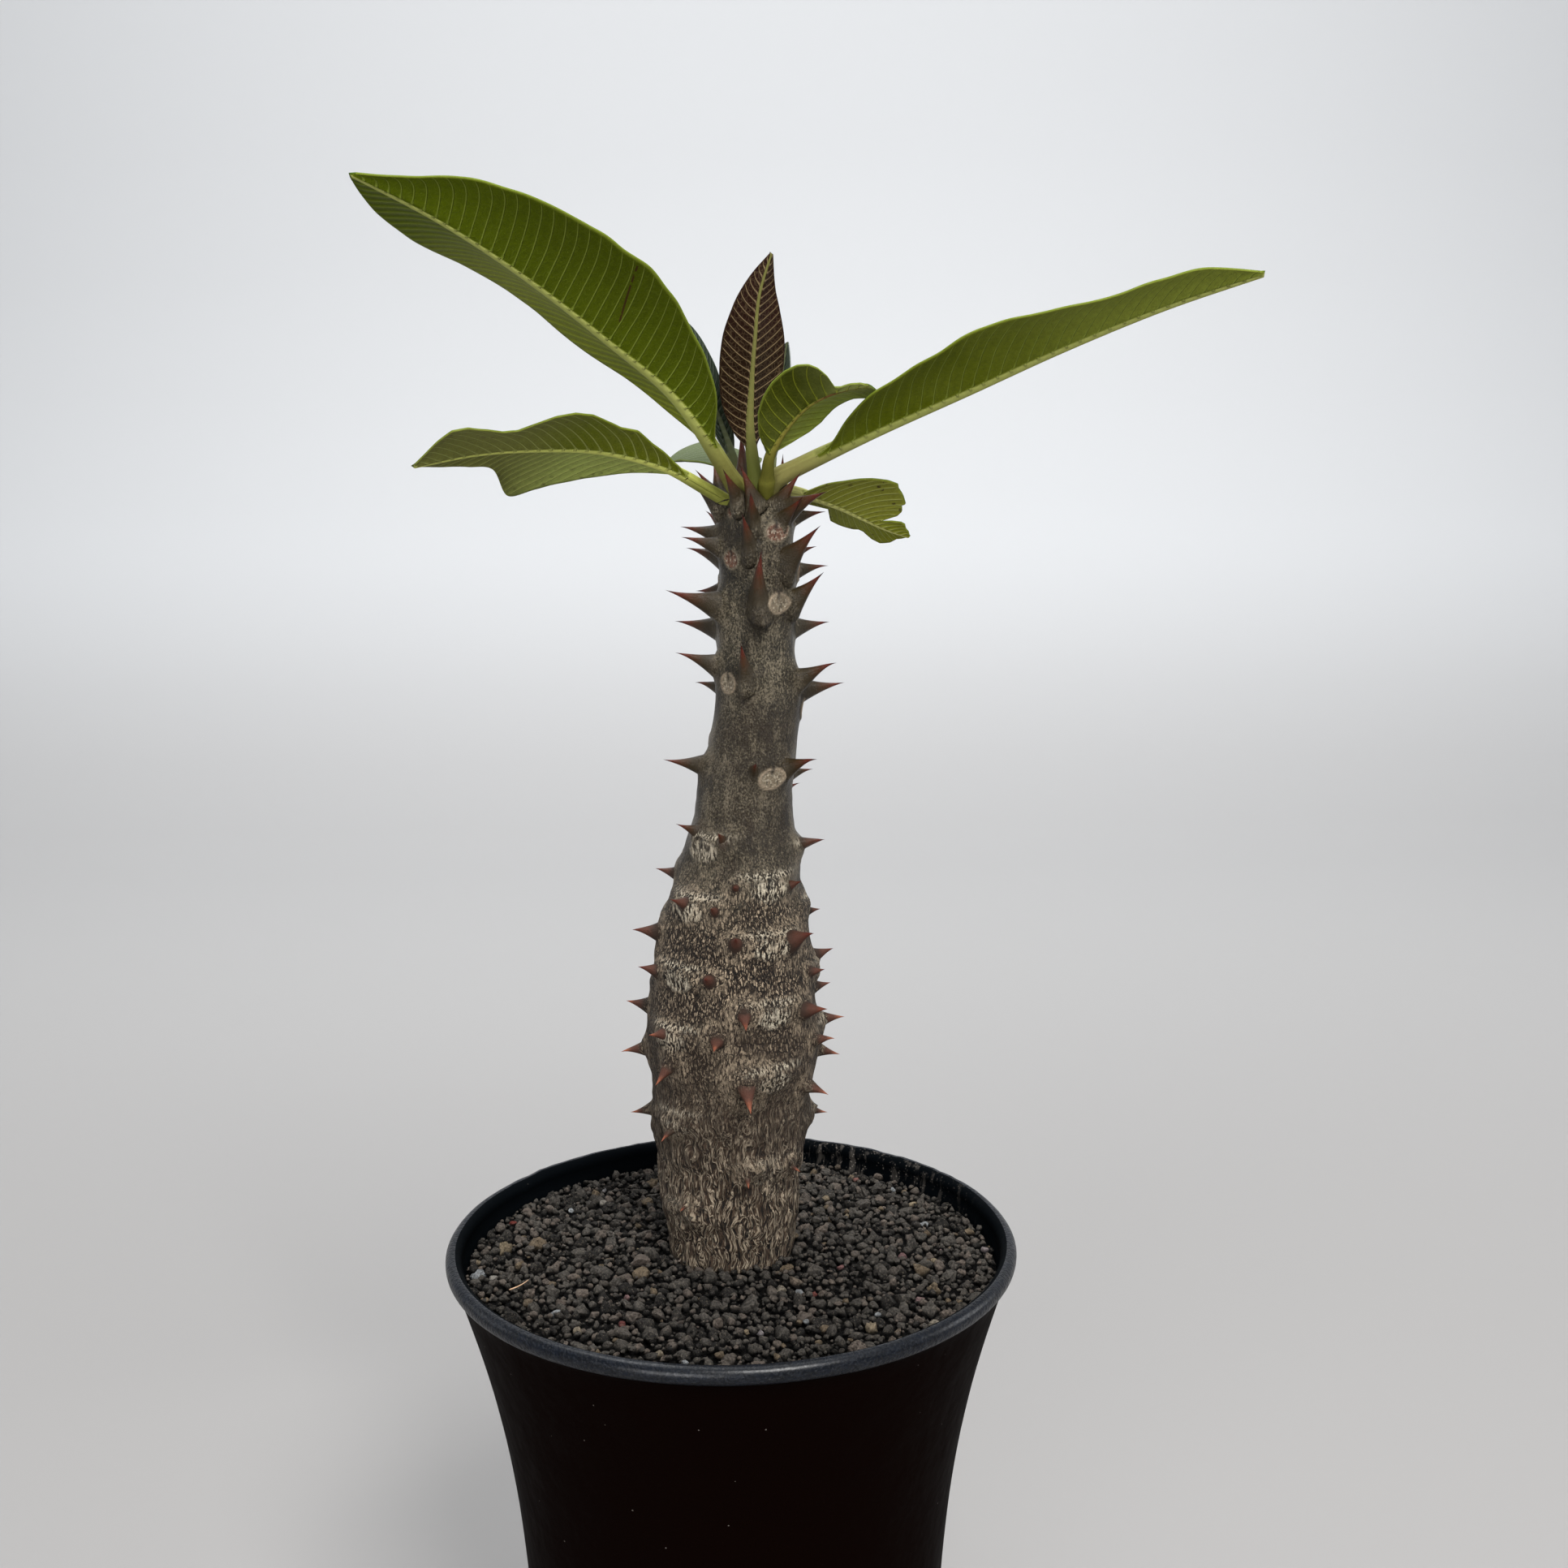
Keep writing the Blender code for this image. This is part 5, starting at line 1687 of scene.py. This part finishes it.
@dataclass(frozen=True)
class Leaf:
    """One leaf: its route and radii in millimetres, the way that it faces, and its two halves."""

    node: str
    slot: Slot
    finish: LeafFinish
    route: tuple
    heading: float
    stalk_share: float
    stalk_radius: float
    rib_radius: float
    right: Half
    left: Half
    flare: float = 0.15
    taper: float = 0.035
    slants: tuple = (0.0, 0.0)
    seed: float = 1.0
    rows: int = 150
    half_columns: int = 26
    sunk: float = 0.07
    root_height: float = 0.2690
    rib_share: float = 0.24
    foot_width: float = 0.00012
    least_width: float = 0.00010
    ragged: float = 0.00012

    def path(self, place: Array) -> Array:
        """The leaf's middle line, with a hidden start that bends into the crown.

        Args:
            place: Places along it, below 0 in the crown and 1 at the tip.

        Returns:
            A point in metres for each place.
        """
        route = np.array(self.route) / 1000
        start, root = route[0], stem_axis(self.root_height)
        tangent = unit(smooth_path(route, np.array([0.01]))[0] - start)
        knee = start - tangent * np.linalg.norm(start - root) * 0.5
        back = fade(0.0, -self.sunk, place)[:, None]
        hidden = (1 - back) ** 2 * start + 2 * (1 - back) * back * knee + back**2 * root
        return np.where(place[:, None] < 0, hidden, smooth_path(route, np.clip(place, 0, 1)))

    def flutter(self, run: Array, row: float, scale: float, later: float = 0.0) -> Array:
        """Soft noise along the leaf, from about -1 to 1."""
        return np.array([noise.noise(Vector((step * scale, row, self.seed + later))) for step in run])

    def section(
        self, hand: int, blade: Array, run: Array, rib: Array, size: Array, low: Array
    ) -> tuple[Array, Array, Array]:
        """Works out the cross-sections of one half.

        Args:
            hand: 1 for the right half and -1 for the left.
            blade: Each row's place along the blade.
            run: Each row's distance from the blade's foot in metres.
            rib: Each row's radius of the rib.
            size: Each column's place, 0 on the rib and 1 on the edge.
            low: Whether a column is on the lower face.

        Returns:
            For each point the distance out, the height, and the distance out along the sheet.
        """
        half = self.right if hand > 0 else self.left
        rib = rib[:, None]
        bare = np.maximum(half.width(blade) * (1 - bell(blade, self.taper)), self.foot_width)
        uneven = self.flutter(run, hand * 3.0, 190)
        width = bare * (1 + 0.02 * uneven) + self.ragged * uneven * smooth_step(0.02, 0.1, blade)
        width = np.maximum(width, self.least_width)[:, None]
        lift = np.radians(smooth_path(half.lifts, blade))[:, None]
        out = fade(self.rib_share, 1.0, size)[None]
        sheet = width * out
        arch = 0.05 * width * np.sin(np.pi * out) - 0.035 * width * out**4
        thick = np.minimum(0.00036 * (1 - 0.5 * out), 0.25 * rib + 0.00022)
        curl = half.rise(blade)[:, None] + self.flutter(run, hand * 5.0, 75, 7)[:, None] * 0.045 * width
        x = rib * 0.95 + sheet * np.cos(lift) - arch * np.sin(lift)
        z = sheet * np.sin(lift) + curl * out**2 + arch * np.cos(lift) + np.where(low, -thick, thick)

        on_rib = fade(0.0, self.rib_share, size)[None]
        arc, top = on_rib * math.radians(80), on_rib * np.pi / 2
        fresh = smooth_step(0.30, 0.0, blade)[:, None]
        crest = rib * (0.62 * fresh - 0.10 * (1 - fresh))
        rib_x = rib * np.where(low, 0.965 * np.sin(arc), 0.95 * np.sin(top))
        rib_z = np.where(low, -rib * np.cos(arc), thick + crest * np.cos(top))
        in_rib = size <= self.rib_share
        return np.where(in_rib, rib_x, x), np.where(in_rib, rib_z, z), sheet

    def build(self) -> None:
        """Makes the leaf as one closed skin from inside the crown to its tip."""
        place = np.linspace(-self.sunk, 1.0, self.rows + 1)
        share = np.clip(place, 0, 1)
        blade = fade(self.stalk_share, 1.0, share)
        centre = self.path(place)
        along = unit(np.gradient(centre, axis=0))
        level = outward(self.heading + 90)
        side = unit(level - along * (along @ level)[:, None])
        up = np.cross(along, side)
        run = np.concatenate([[0], np.cumsum(np.linalg.norm(np.diff(centre, axis=0), axis=1))])
        run -= np.interp(self.stalk_share, place, run)
        rib = self.stalk_radius + (self.rib_radius - self.stalk_radius) * np.minimum(share * 2.2, 1.0) ** 0.7
        rib *= (1 - 0.6 * blade) / 1000
        rib *= 1 + 0.25 * smooth_step(0.0, -self.sunk, place) + self.flare * np.exp(-share / 0.02)

        columns = self.half_columns
        upper_loop = np.arange(-columns, columns + 1)
        loop = np.concatenate([upper_loop, upper_loop[::-1]]) / columns
        low = np.arange(len(loop)) >= len(upper_loop)
        size = np.abs(loop)
        points = np.zeros((len(place), len(loop), 3))
        sheet = np.zeros(points.shape[:2])
        slant = smooth_path(self.slants, blade)[:, None]
        for hand in (-1, 1):
            chosen = (loop >= 0) == (hand > 0)
            x, z, flat = self.section(hand, blade, run, rib, size[chosen], low[chosen])
            ways = ((side, hand * x), (up, z), (along, flat * slant))
            points[:, chosen] = centre[:, None] + sum(way[:, None] * far[..., None] for way, far in ways)
            sheet[:, chosen] = hand * flat
        on_rib = np.maximum(1 - fade(0.0, self.rib_share, size)[None], smooth_step(0.02, 0.0, blade)[:, None])
        stalk = smooth_step(self.stalk_share + 0.12, self.stalk_share * 0.4, share)
        grid = np.zeros_like(sheet)
        numbers = {
            "along": (run[:, None] + slant * np.abs(sheet)) * 1000, "across": sheet * 1000,
            "reach": grid + np.sign(loop) * fade(self.rib_share, 1.0, size), "under": grid + low,
            "rib": on_rib, "stalk": grid + stalk[:, None], "tipward": grid + blade[:, None],
        }
        shape = Skin(len(loop), self.rows).wrap(points, numbers)
        add_piece(f"{self.node}_blade", shape, self.finish.make(), self.node)


OLIVE_VEIN = tint(128, 140, 58)
OLIVE_RIB = tint(148, 152, 82)
GREY_FINISH = LeafFinish(
    name="leaf_grey_behind_left", right=tint(62, 70, 60), left=tint(62, 70, 60), tip=tint(78, 86, 78),
    vein=tint(140, 144, 134), rib=tint(96, 100, 72), stalk=tint(84, 88, 52), upper=tint(52, 62, 50),
    margin=tint(150, 156, 150), spacing=1.5, right_ribbed=0.4, left_ribbed=0.4,
)
NARROW_HALF = Half((0.0, 1.4, 2.5, 3.2, 3.6, 3.7, 3.4, 2.9, 2.2, 1.2, 0.0), (40, 40))

# Where a leaf's two halves differ strongly in colour, that is partly painted light through the blade and
# painted grazing sheen
LEAVES = (
    Leaf(
        "leaf_large_left", Slot.GREEN,
        LeafFinish(
            name="leaf_olive_large_left", right=tint(62, 72, 0), left=tint(118, 124, 38), tip=tint(72, 84, 0),
            vein=OLIVE_VEIN, rib=OLIVE_RIB, stalk=tint(80, 74, 34), right_ribbed=0.05, left_ribbed=0.42,
            spacing=2.35, scratch=((42.0, 17.0), (34.1, 3.6)),
        ),
        route=(
            (2.2, -5, 277.5), (-8.2, -15, 293.3), (-21.5, -25, 304.7), (-34.6, -35, 314.8),
            (-47.3, -45, 323), (-60.6, -55, 329.7),
        ),
        heading=-51, stalk_share=0.07, stalk_radius=1.9, rib_radius=1.2, taper=0.06, seed=1.7,
        right=Half((0.0, 5.2, 9.6, 13.6, 15.6, 15.6, 14.5, 13.0, 10.1, 4.6, 0.0), (40, 42, 40, 40, 36)),
        left=Half((0.0, 5.6, 10.6, 15.0, 17.2, 16.8, 15.4, 13.6, 10.8, 6.6, 0.0), (4, 9, 10, -2, -14)),
    ),
    Leaf(
        "leaf_low_left", Slot.GREEN,
        LeafFinish(
            name="leaf_olive_low_left", right=tint(88, 96, 4), left=tint(150, 162, 84),
            tip=tint(104, 106, 50), tip_from=0.62, vein=tint(166, 172, 96), rib=tint(180, 184, 96),
            stalk=tint(98, 100, 40), spacing=2.4, sweep=0.9, bend=1.2, spots=0.5, right_ribbed=0.06,
            left_ribbed=0.22, vein_width=0.2,
        ),
        route=(
            (-2.4, -3, 275.8), (-11.6, -9, 281), (-22.8, -14.4, 284), (-34.2, -19.6, 284.5),
            (-45.1, -24.8, 283.8), (-56.3, -30, 281.6),
        ),
        heading=-64, stalk_share=0.10, stalk_radius=1.4, rib_radius=1.1, flare=0.0, seed=2.9,
        right=Half(
            (
                (0, 0), (0.1, 1.8), (0.2, 4.8), (0.27, 7.6), (0.33, 8), (0.38, 9.6), (0.44, 12),
                (0.50, 12.6), (0.56, 11.4), (0.62, 8.8), (0.67, 6.6), (0.72, 6.5), (0.78, 8.4), (0.84, 9.8),
                (0.89, 9.2), (0.93, 6.4), (0.97, 2.6), (1, 0),
            ),
            (38, 36, 32, 34, 40),
        ),
        left=Half(
            (0, 3.5, 6.2, 9, 11.6, 13.6, 14.6, 5.2, 3.6, 2.6, 0), (-20, -27, -34, -34, -20),
            (0.4, 2, 0.20),
        ),
    ),
    Leaf(
        "leaf_young_middle", Slot.BROWN,
        LeafFinish(
            name="leaf_maroon_middle", right=tint(24, 11, 2), left=tint(27, 13, 3), tip=tint(30, 11, 5),
            tip_from=0.6, vein=tint(134, 114, 84), rib=tint(98, 96, 52), stalk=tint(80, 86, 36),
            upper=tint(52, 50, 30), margin=tint(44, 18, 16), spacing=1.60, vein_width=0.12, vein_share=0.66,
            sweep=0.45, bend=1.2, right_ribbed=0.06, left_ribbed=0.06, speckle=0.10, net=0.14,
        ),
        route=(
            (6.3, -3.5, 277.6), (5.3, -4.6, 287.6), (5.7, -5.6, 296.8), (6.4, -6.4, 305),
            (7.3, -7.2, 313), (9.7, -8, 320.7),
        ),
        heading=10, stalk_share=0.12, stalk_radius=1.5, rib_radius=0.6, seed=3.1,
        right=Half((0.0, 2.8, 5.2, 6.8, 7.6, 7.6, 6.8, 5.6, 4.0, 2.2, 0.0), (34, 34, 34, 36, 44)),
        left=Half((0.0, 3.0, 5.1, 6.0, 6.4, 6.4, 5.8, 4.6, 3.2, 1.7, 0.0), (30, 32, 34, 34, 30)),
    ),
    Leaf(
        "leaf_young_behind_left", Slot.GREY, GREY_FINISH,
        route=(
            (3.6, 2.8, 276.8), (0.8, 5.6, 285), (-2, 8.2, 293), (-4.6, 10.4, 300),
            (-7.2, 12.2, 306), (-9.8, 13.6, 310.8),
        ),
        heading=-150, stalk_share=0.14, stalk_radius=1.4, rib_radius=0.6, seed=4.3, rows=110, half_columns=20,
        right=Half((0.0, 2.4, 4.2, 5.2, 5.6, 5.5, 5.0, 4.2, 3.0, 1.6, 0.0), (36, 36)),
        left=Half((0.0, 1.1, 2.0, 2.6, 2.8, 2.8, 2.6, 2.3, 1.8, 1.0, 0.0), (52, 52, 52, 50, 46)),
    ),
    Leaf(
        "leaf_young_behind_right", Slot.GREY,
        replace(GREY_FINISH, name="leaf_grey_behind_right", spacing=1.4),
        route=(
            (9.2, 2.6, 276.8), (10, 4.8, 283.6), (10.8, 6.8, 289.8), (11.7, 8.4, 295.4), (12.5, 9.6, 300.4),
            (13.2, 10.4, 304.8),
        ),
        heading=150, stalk_share=0.14, stalk_radius=1.2, rib_radius=0.5, seed=5.9, rows=110, half_columns=20,
        right=NARROW_HALF, left=NARROW_HALF,
    ),
    Leaf(
        "leaf_small_curled", Slot.GREEN,
        LeafFinish(
            name="leaf_olive_curled", right=tint(134, 146, 62), left=tint(47, 52, 0),
            tip=tint(126, 133, 72), tip_from=0.84, vein=tint(126, 132, 36), rib=tint(112, 106, 44),
            stalk=tint(78, 78, 28), rusty=0.85, vein_width=0.13, spacing=2.1, sweep=0.1, bend=1.8,
            right_ribbed=0.25, left_ribbed=0.05,
        ),
        route=(
            (8.5, -5.6, 278), (9.2, -9.3, 283), (12.2, -12.5, 287.9), (16.3, -15.7, 292.1),
            (21.3, -18.8, 294.5), (27.2, -22, 295.7),
        ),
        heading=42, stalk_share=0.20, stalk_radius=1.5, rib_radius=0.6, slants=(0.2, 0.2), seed=6.4,
        right=Half(
            (
                (0, 0), (0.1, 3), (0.2, 5.6), (0.3, 7), (0.4, 7.2), (0.5, 6.7), (0.6, 6),
                (0.68, 5.3), (0.74, 4.9), (0.82, 5.6), (0.90, 5.6), (0.96, 4.9), (0.985, 3.4), (1, 0),
            ),
            (0, 0, 0, -8, -20),
        ),
        left=Half(
            (
                (0, 0), (0.1, 3.4), (0.2, 5.8), (0.3, 7), (0.4, 7.8), (0.5, 8.2), (0.58, 8),
                (0.65, 7.2), (0.70, 5.9), (0.74, 3.8), (0.757, 1.1), (0.80, 0.8), (0.88, 1.3), (0.95, 1.2),
                (1, 0),
            ),
            (40, 44, 46, 40, 20),
        ),
    ),
    Leaf(
        "leaf_large_right", Slot.GREEN,
        LeafFinish(
            name="leaf_olive_large_right", right=tint(98, 104, 32), left=tint(76, 84, 0),
            tip=tint(108, 116, 40), tip_from=0.62, vein=OLIVE_VEIN, rib=OLIVE_RIB,
            stalk=tint(116, 108, 64), spacing=2.8, sweep=0.9, bend=1.2, right_ribbed=0.35, left_ribbed=0.08,
        ),
        route=(
            (11.9, -3, 279.3), (28.6, -10.6, 287.4), (46, -18.5, 295.1), (62.5, -26.2, 302.5),
            (79, -34, 309.1), (95, -42, 314.3),
        ),
        heading=65, stalk_share=0.07, stalk_radius=1.9, rib_radius=1.8, taper=0.09, seed=7.2,
        right=Half(
            (0, 5.8, 9.8, 12.4, 13.6, 13.2, 11.2, 9.4, 8.4, 5.6, 0), (26, 30, 30, 30, 34),
            (0.6, 2.4, 0.10),
        ),
        left=Half(
            (0, 6, 9.6, 11.5, 12.5, 12.5, 10.5, 8, 7, 5.3, 0), (30, 33, 33, 33, 38),
            (0.5, 2.2, 0.30),
        ),
    ),
    Leaf(
        "leaf_low_right", Slot.GREEN,
        LeafFinish(
            name="leaf_olive_low_right", right=tint(112, 116, 46), left=tint(112, 114, 38),
            tip=tint(104, 108, 22), vein=tint(166, 170, 96), rib=tint(174, 174, 102),
            stalk=tint(160, 158, 96), spacing=1.5, sweep=1.0, bend=0.6, spots=0.9, right_ribbed=0.06,
            left_ribbed=0.08,
        ),
        route=(
            (12.5, 1, 275.8), (18.2, 3.9, 274.3), (23.3, 6, 272.3), (28, 8.2, 270),
            (33, 10.3, 267.6), (37.9, 12, 265.8),
        ),
        heading=112, stalk_share=0.08, stalk_radius=1.4, rib_radius=1.0, rows=230, seed=8.8,
        slants=(0.2, 0.5, 0.9, 0.9, 0.9, 0.9),
        right=Half(
            (
                (0, 0), (0.03, 2.4), (0.10, 3.2), (0.20, 2.5), (0.262, 2), (0.275, 5.4), (0.34, 5.3),
                (0.48, 4), (0.53, 3.4), (0.57, 3.5), (0.64, 4.5), (0.71, 4.7), (0.80, 3.4), (0.87, 1.8),
                (0.93, 1.1), (1, 0),
            ),
            (-20, -26, -30, -30, -30),
        ),
        left=Half(
            (
                (0, 0), (0.03, 2), (0.08, 4.2), (0.14, 6.2), (0.18, 7.8), (0.22, 9), (0.27, 10),
                (0.31, 10.2), (0.34, 9.4), (0.42, 8.4), (0.50, 7.5), (0.518, 6.2), (0.545, 6.3), (0.60, 5.4),
                (0.64, 4), (0.658, 1.2), (0.672, 1), (0.70, 2.1), (0.75, 2.8), (0.80, 2.6), (0.87, 1.6),
                (0.93, 1), (1, 0),
            ),
            (40, 46, 50, 50, 50),
        ),
    ),
    Leaf(
        "leaf_back", Slot.GREEN,
        LeafFinish(
            name="leaf_olive_back", right=tint(78, 86, 62), left=tint(78, 86, 62), tip=tint(74, 82, 56),
            vein=tint(120, 126, 98), rib=tint(118, 122, 86), stalk=tint(108, 110, 66), upper=tint(76, 88, 48),
        ),
        route=(
            (6, 6.9, 276.2), (2.6, 20, 281.2), (-0.8, 33.5, 283.8), (-4.2, 47, 284.4),
            (-7.8, 60.5, 283), (-11.5, 74, 280),
        ),
        heading=-165, stalk_share=0.08, stalk_radius=1.8, rib_radius=0.8, seed=9.6,
        right=Half((0.0, 5.0, 8.0, 9.2, 9.4, 9.0, 8.0, 6.6, 4.8, 2.6, 0.0), (10, -12, -24, -26, -26)),
        left=Half((0.0, 3.4, 6.2, 7.8, 8.4, 8.3, 7.6, 6.4, 4.8, 2.6, 0.0), (10, -12, -24, -26, -26)),
    ),
)


@dataclass(frozen=True)
class Light:
    """One soft square light: its side is in metres, its power in watts and its beam in degrees."""

    name: str
    place: tuple
    size: float
    power: float
    colour: Colour
    aim: tuple = (0.0, 0.0, 0.2)
    spread: float = 180.0

    def hang(self) -> None:
        """Adds the light to the scene."""
        light = bpy.data.lights.new(self.name, "AREA")
        light.size, light.energy, light.color = self.size, self.power, self.colour
        light.spread = math.radians(self.spread)
        lamp = link(self.name, light)
        lamp.location = self.place
        lamp.rotation_euler = (Vector(self.aim) - Vector(self.place)).to_track_quat("-Z", "Y").to_euler()


@dataclass
class Studio:
    """The pale floor and backdrop, the soft lights and the camera."""

    floor_width: float = 5.0
    front: float = -2.2
    back: float = 0.9
    sweep: float = 0.55
    wall_top: float = 2.6
    # Painted shade and light: the floor darker near the front and lighter far back, the backdrop lighter
    # still
    near_grey: Colour = tint(140, 138, 137)
    far_grey: Colour = tint(176, 175, 175)
    wall_grey: Colour = tint(204, 205, 207)
    pitch: float = 10.591
    turn: float = -1.704
    roll: float = -0.352
    focal_pixels: float = 2411.35
    picture_pixels: float = 1932.0
    sensor: float = 36.0
    place: tuple = (0.0, -0.39074, 0.28982)
    sky: Colour = (0.92, 0.96, 1.0)
    sky_strength: float = 0.14
    lights: tuple[Light, ...] = (
        Light("key_front", (0.28, -0.75, 1.0), 0.42, 17.0, (1.0, 0.99, 0.97)),
        Light("fill_low", (-0.75, -1.9, 0.45), 1.1, 5.2, (0.99, 0.99, 1.0), spread=70.0),
        Light("top_soft", (-0.15, 0.30, 0.95), 0.5, 4.5, (0.97, 0.99, 1.0)),
        Light("side_left", (-1.0, 0.25, 0.45), 0.5, 1.0, (0.98, 0.99, 1.0)),
        Light("side_right", (1.0, 0.15, 0.50), 0.5, 3.3, (0.98, 0.99, 1.0)),
        Light("wall_wash", (0.0, 0.35, 1.7), 1.2, 21.5, (0.97, 0.99, 1.0), aim=(0.0, 1.40, 0.55)),
    )

    def build_floor(self) -> None:
        """Makes the floor, which curves up into the backdrop."""
        shape = bmesh.new()
        bmesh.ops.create_grid(shape, x_segments=2, y_segments=60, size=0.5)
        flat = self.back - self.front
        bow = self.sweep * math.pi / 2
        whole = flat + bow + self.wall_top
        for vert in shape.verts:
            run = (vert.co.y + 0.5) * whole
            x = vert.co.x * self.floor_width
            if run < flat:
                vert.co = (x, self.front + run, 0.0)
            elif run < flat + bow:
                angle = (run - flat) / self.sweep
                vert.co = (x, self.back + self.sweep * math.sin(angle), self.sweep * (1 - math.cos(angle)))
            else:
                vert.co = (x, self.back + self.sweep, self.sweep + run - flat - bow)
        mesh = as_mesh("studio_floor", shape)
        mesh.shade_smooth()
        paint = Paint("pale_paper")
        # Painted shade and light: a darker floor near the front, a lighter floor far back and a lighter
        # backdrop
        colour = paint.mix(paint.height("Y").step(150.0, 1000.0), self.near_grey, self.far_grey)
        colour = paint.mix(paint.height().step(-20.0, 200.0), colour, self.wall_grey)
        mesh.materials.append(paint.finish(colour, 0.9))
        link("studio_floor", mesh)

    def build_lights(self) -> None:
        """Lights the scene like a bright overcast window from above."""
        world = bpy.data.worlds.new("soft_sky")
        world.use_nodes = True
        sky = world.node_tree.nodes["Background"]
        sky.inputs["Color"].default_value = (*self.sky, 1.0)
        sky.inputs["Strength"].default_value = self.sky_strength
        bpy.context.scene.world = world
        for light in self.lights:
            light.hang()
        bpy.context.scene.view_settings.view_transform = "Standard"

    def build_camera(self) -> None:
        """Places the camera where the photograph was taken from."""
        data = bpy.data.cameras.new("photo_camera")
        data.sensor_width = self.sensor
        data.lens = self.sensor * self.focal_pixels / self.picture_pixels
        data.clip_start = 0.001
        camera = link("photo_camera", data)
        camera.matrix_world = (
            Matrix.Translation(self.place)
            @ Matrix.Rotation(math.radians(self.turn), 4, "Z")
            @ Matrix.Rotation(math.radians(90 - self.pitch), 4, "X")
            @ Matrix.Rotation(math.radians(self.roll), 4, "Z")
        )
        bpy.context.scene.camera = camera

    def build(self) -> None:
        """Makes the floor, the lights and the camera."""
        self.build_floor()
        self.build_lights()
        self.build_camera()


def main() -> None:
    """Builds the studio, the pot, the gravel, the straw, the stem and the leaves."""
    logging.basicConfig(level=logging.INFO, format="%(name)s: %(message)s")
    for part in (Studio(), Pot(), Gravel(), Straw(), Stem(), *LEAVES):
        part.build()


if __name__ == "__main__":
    main()
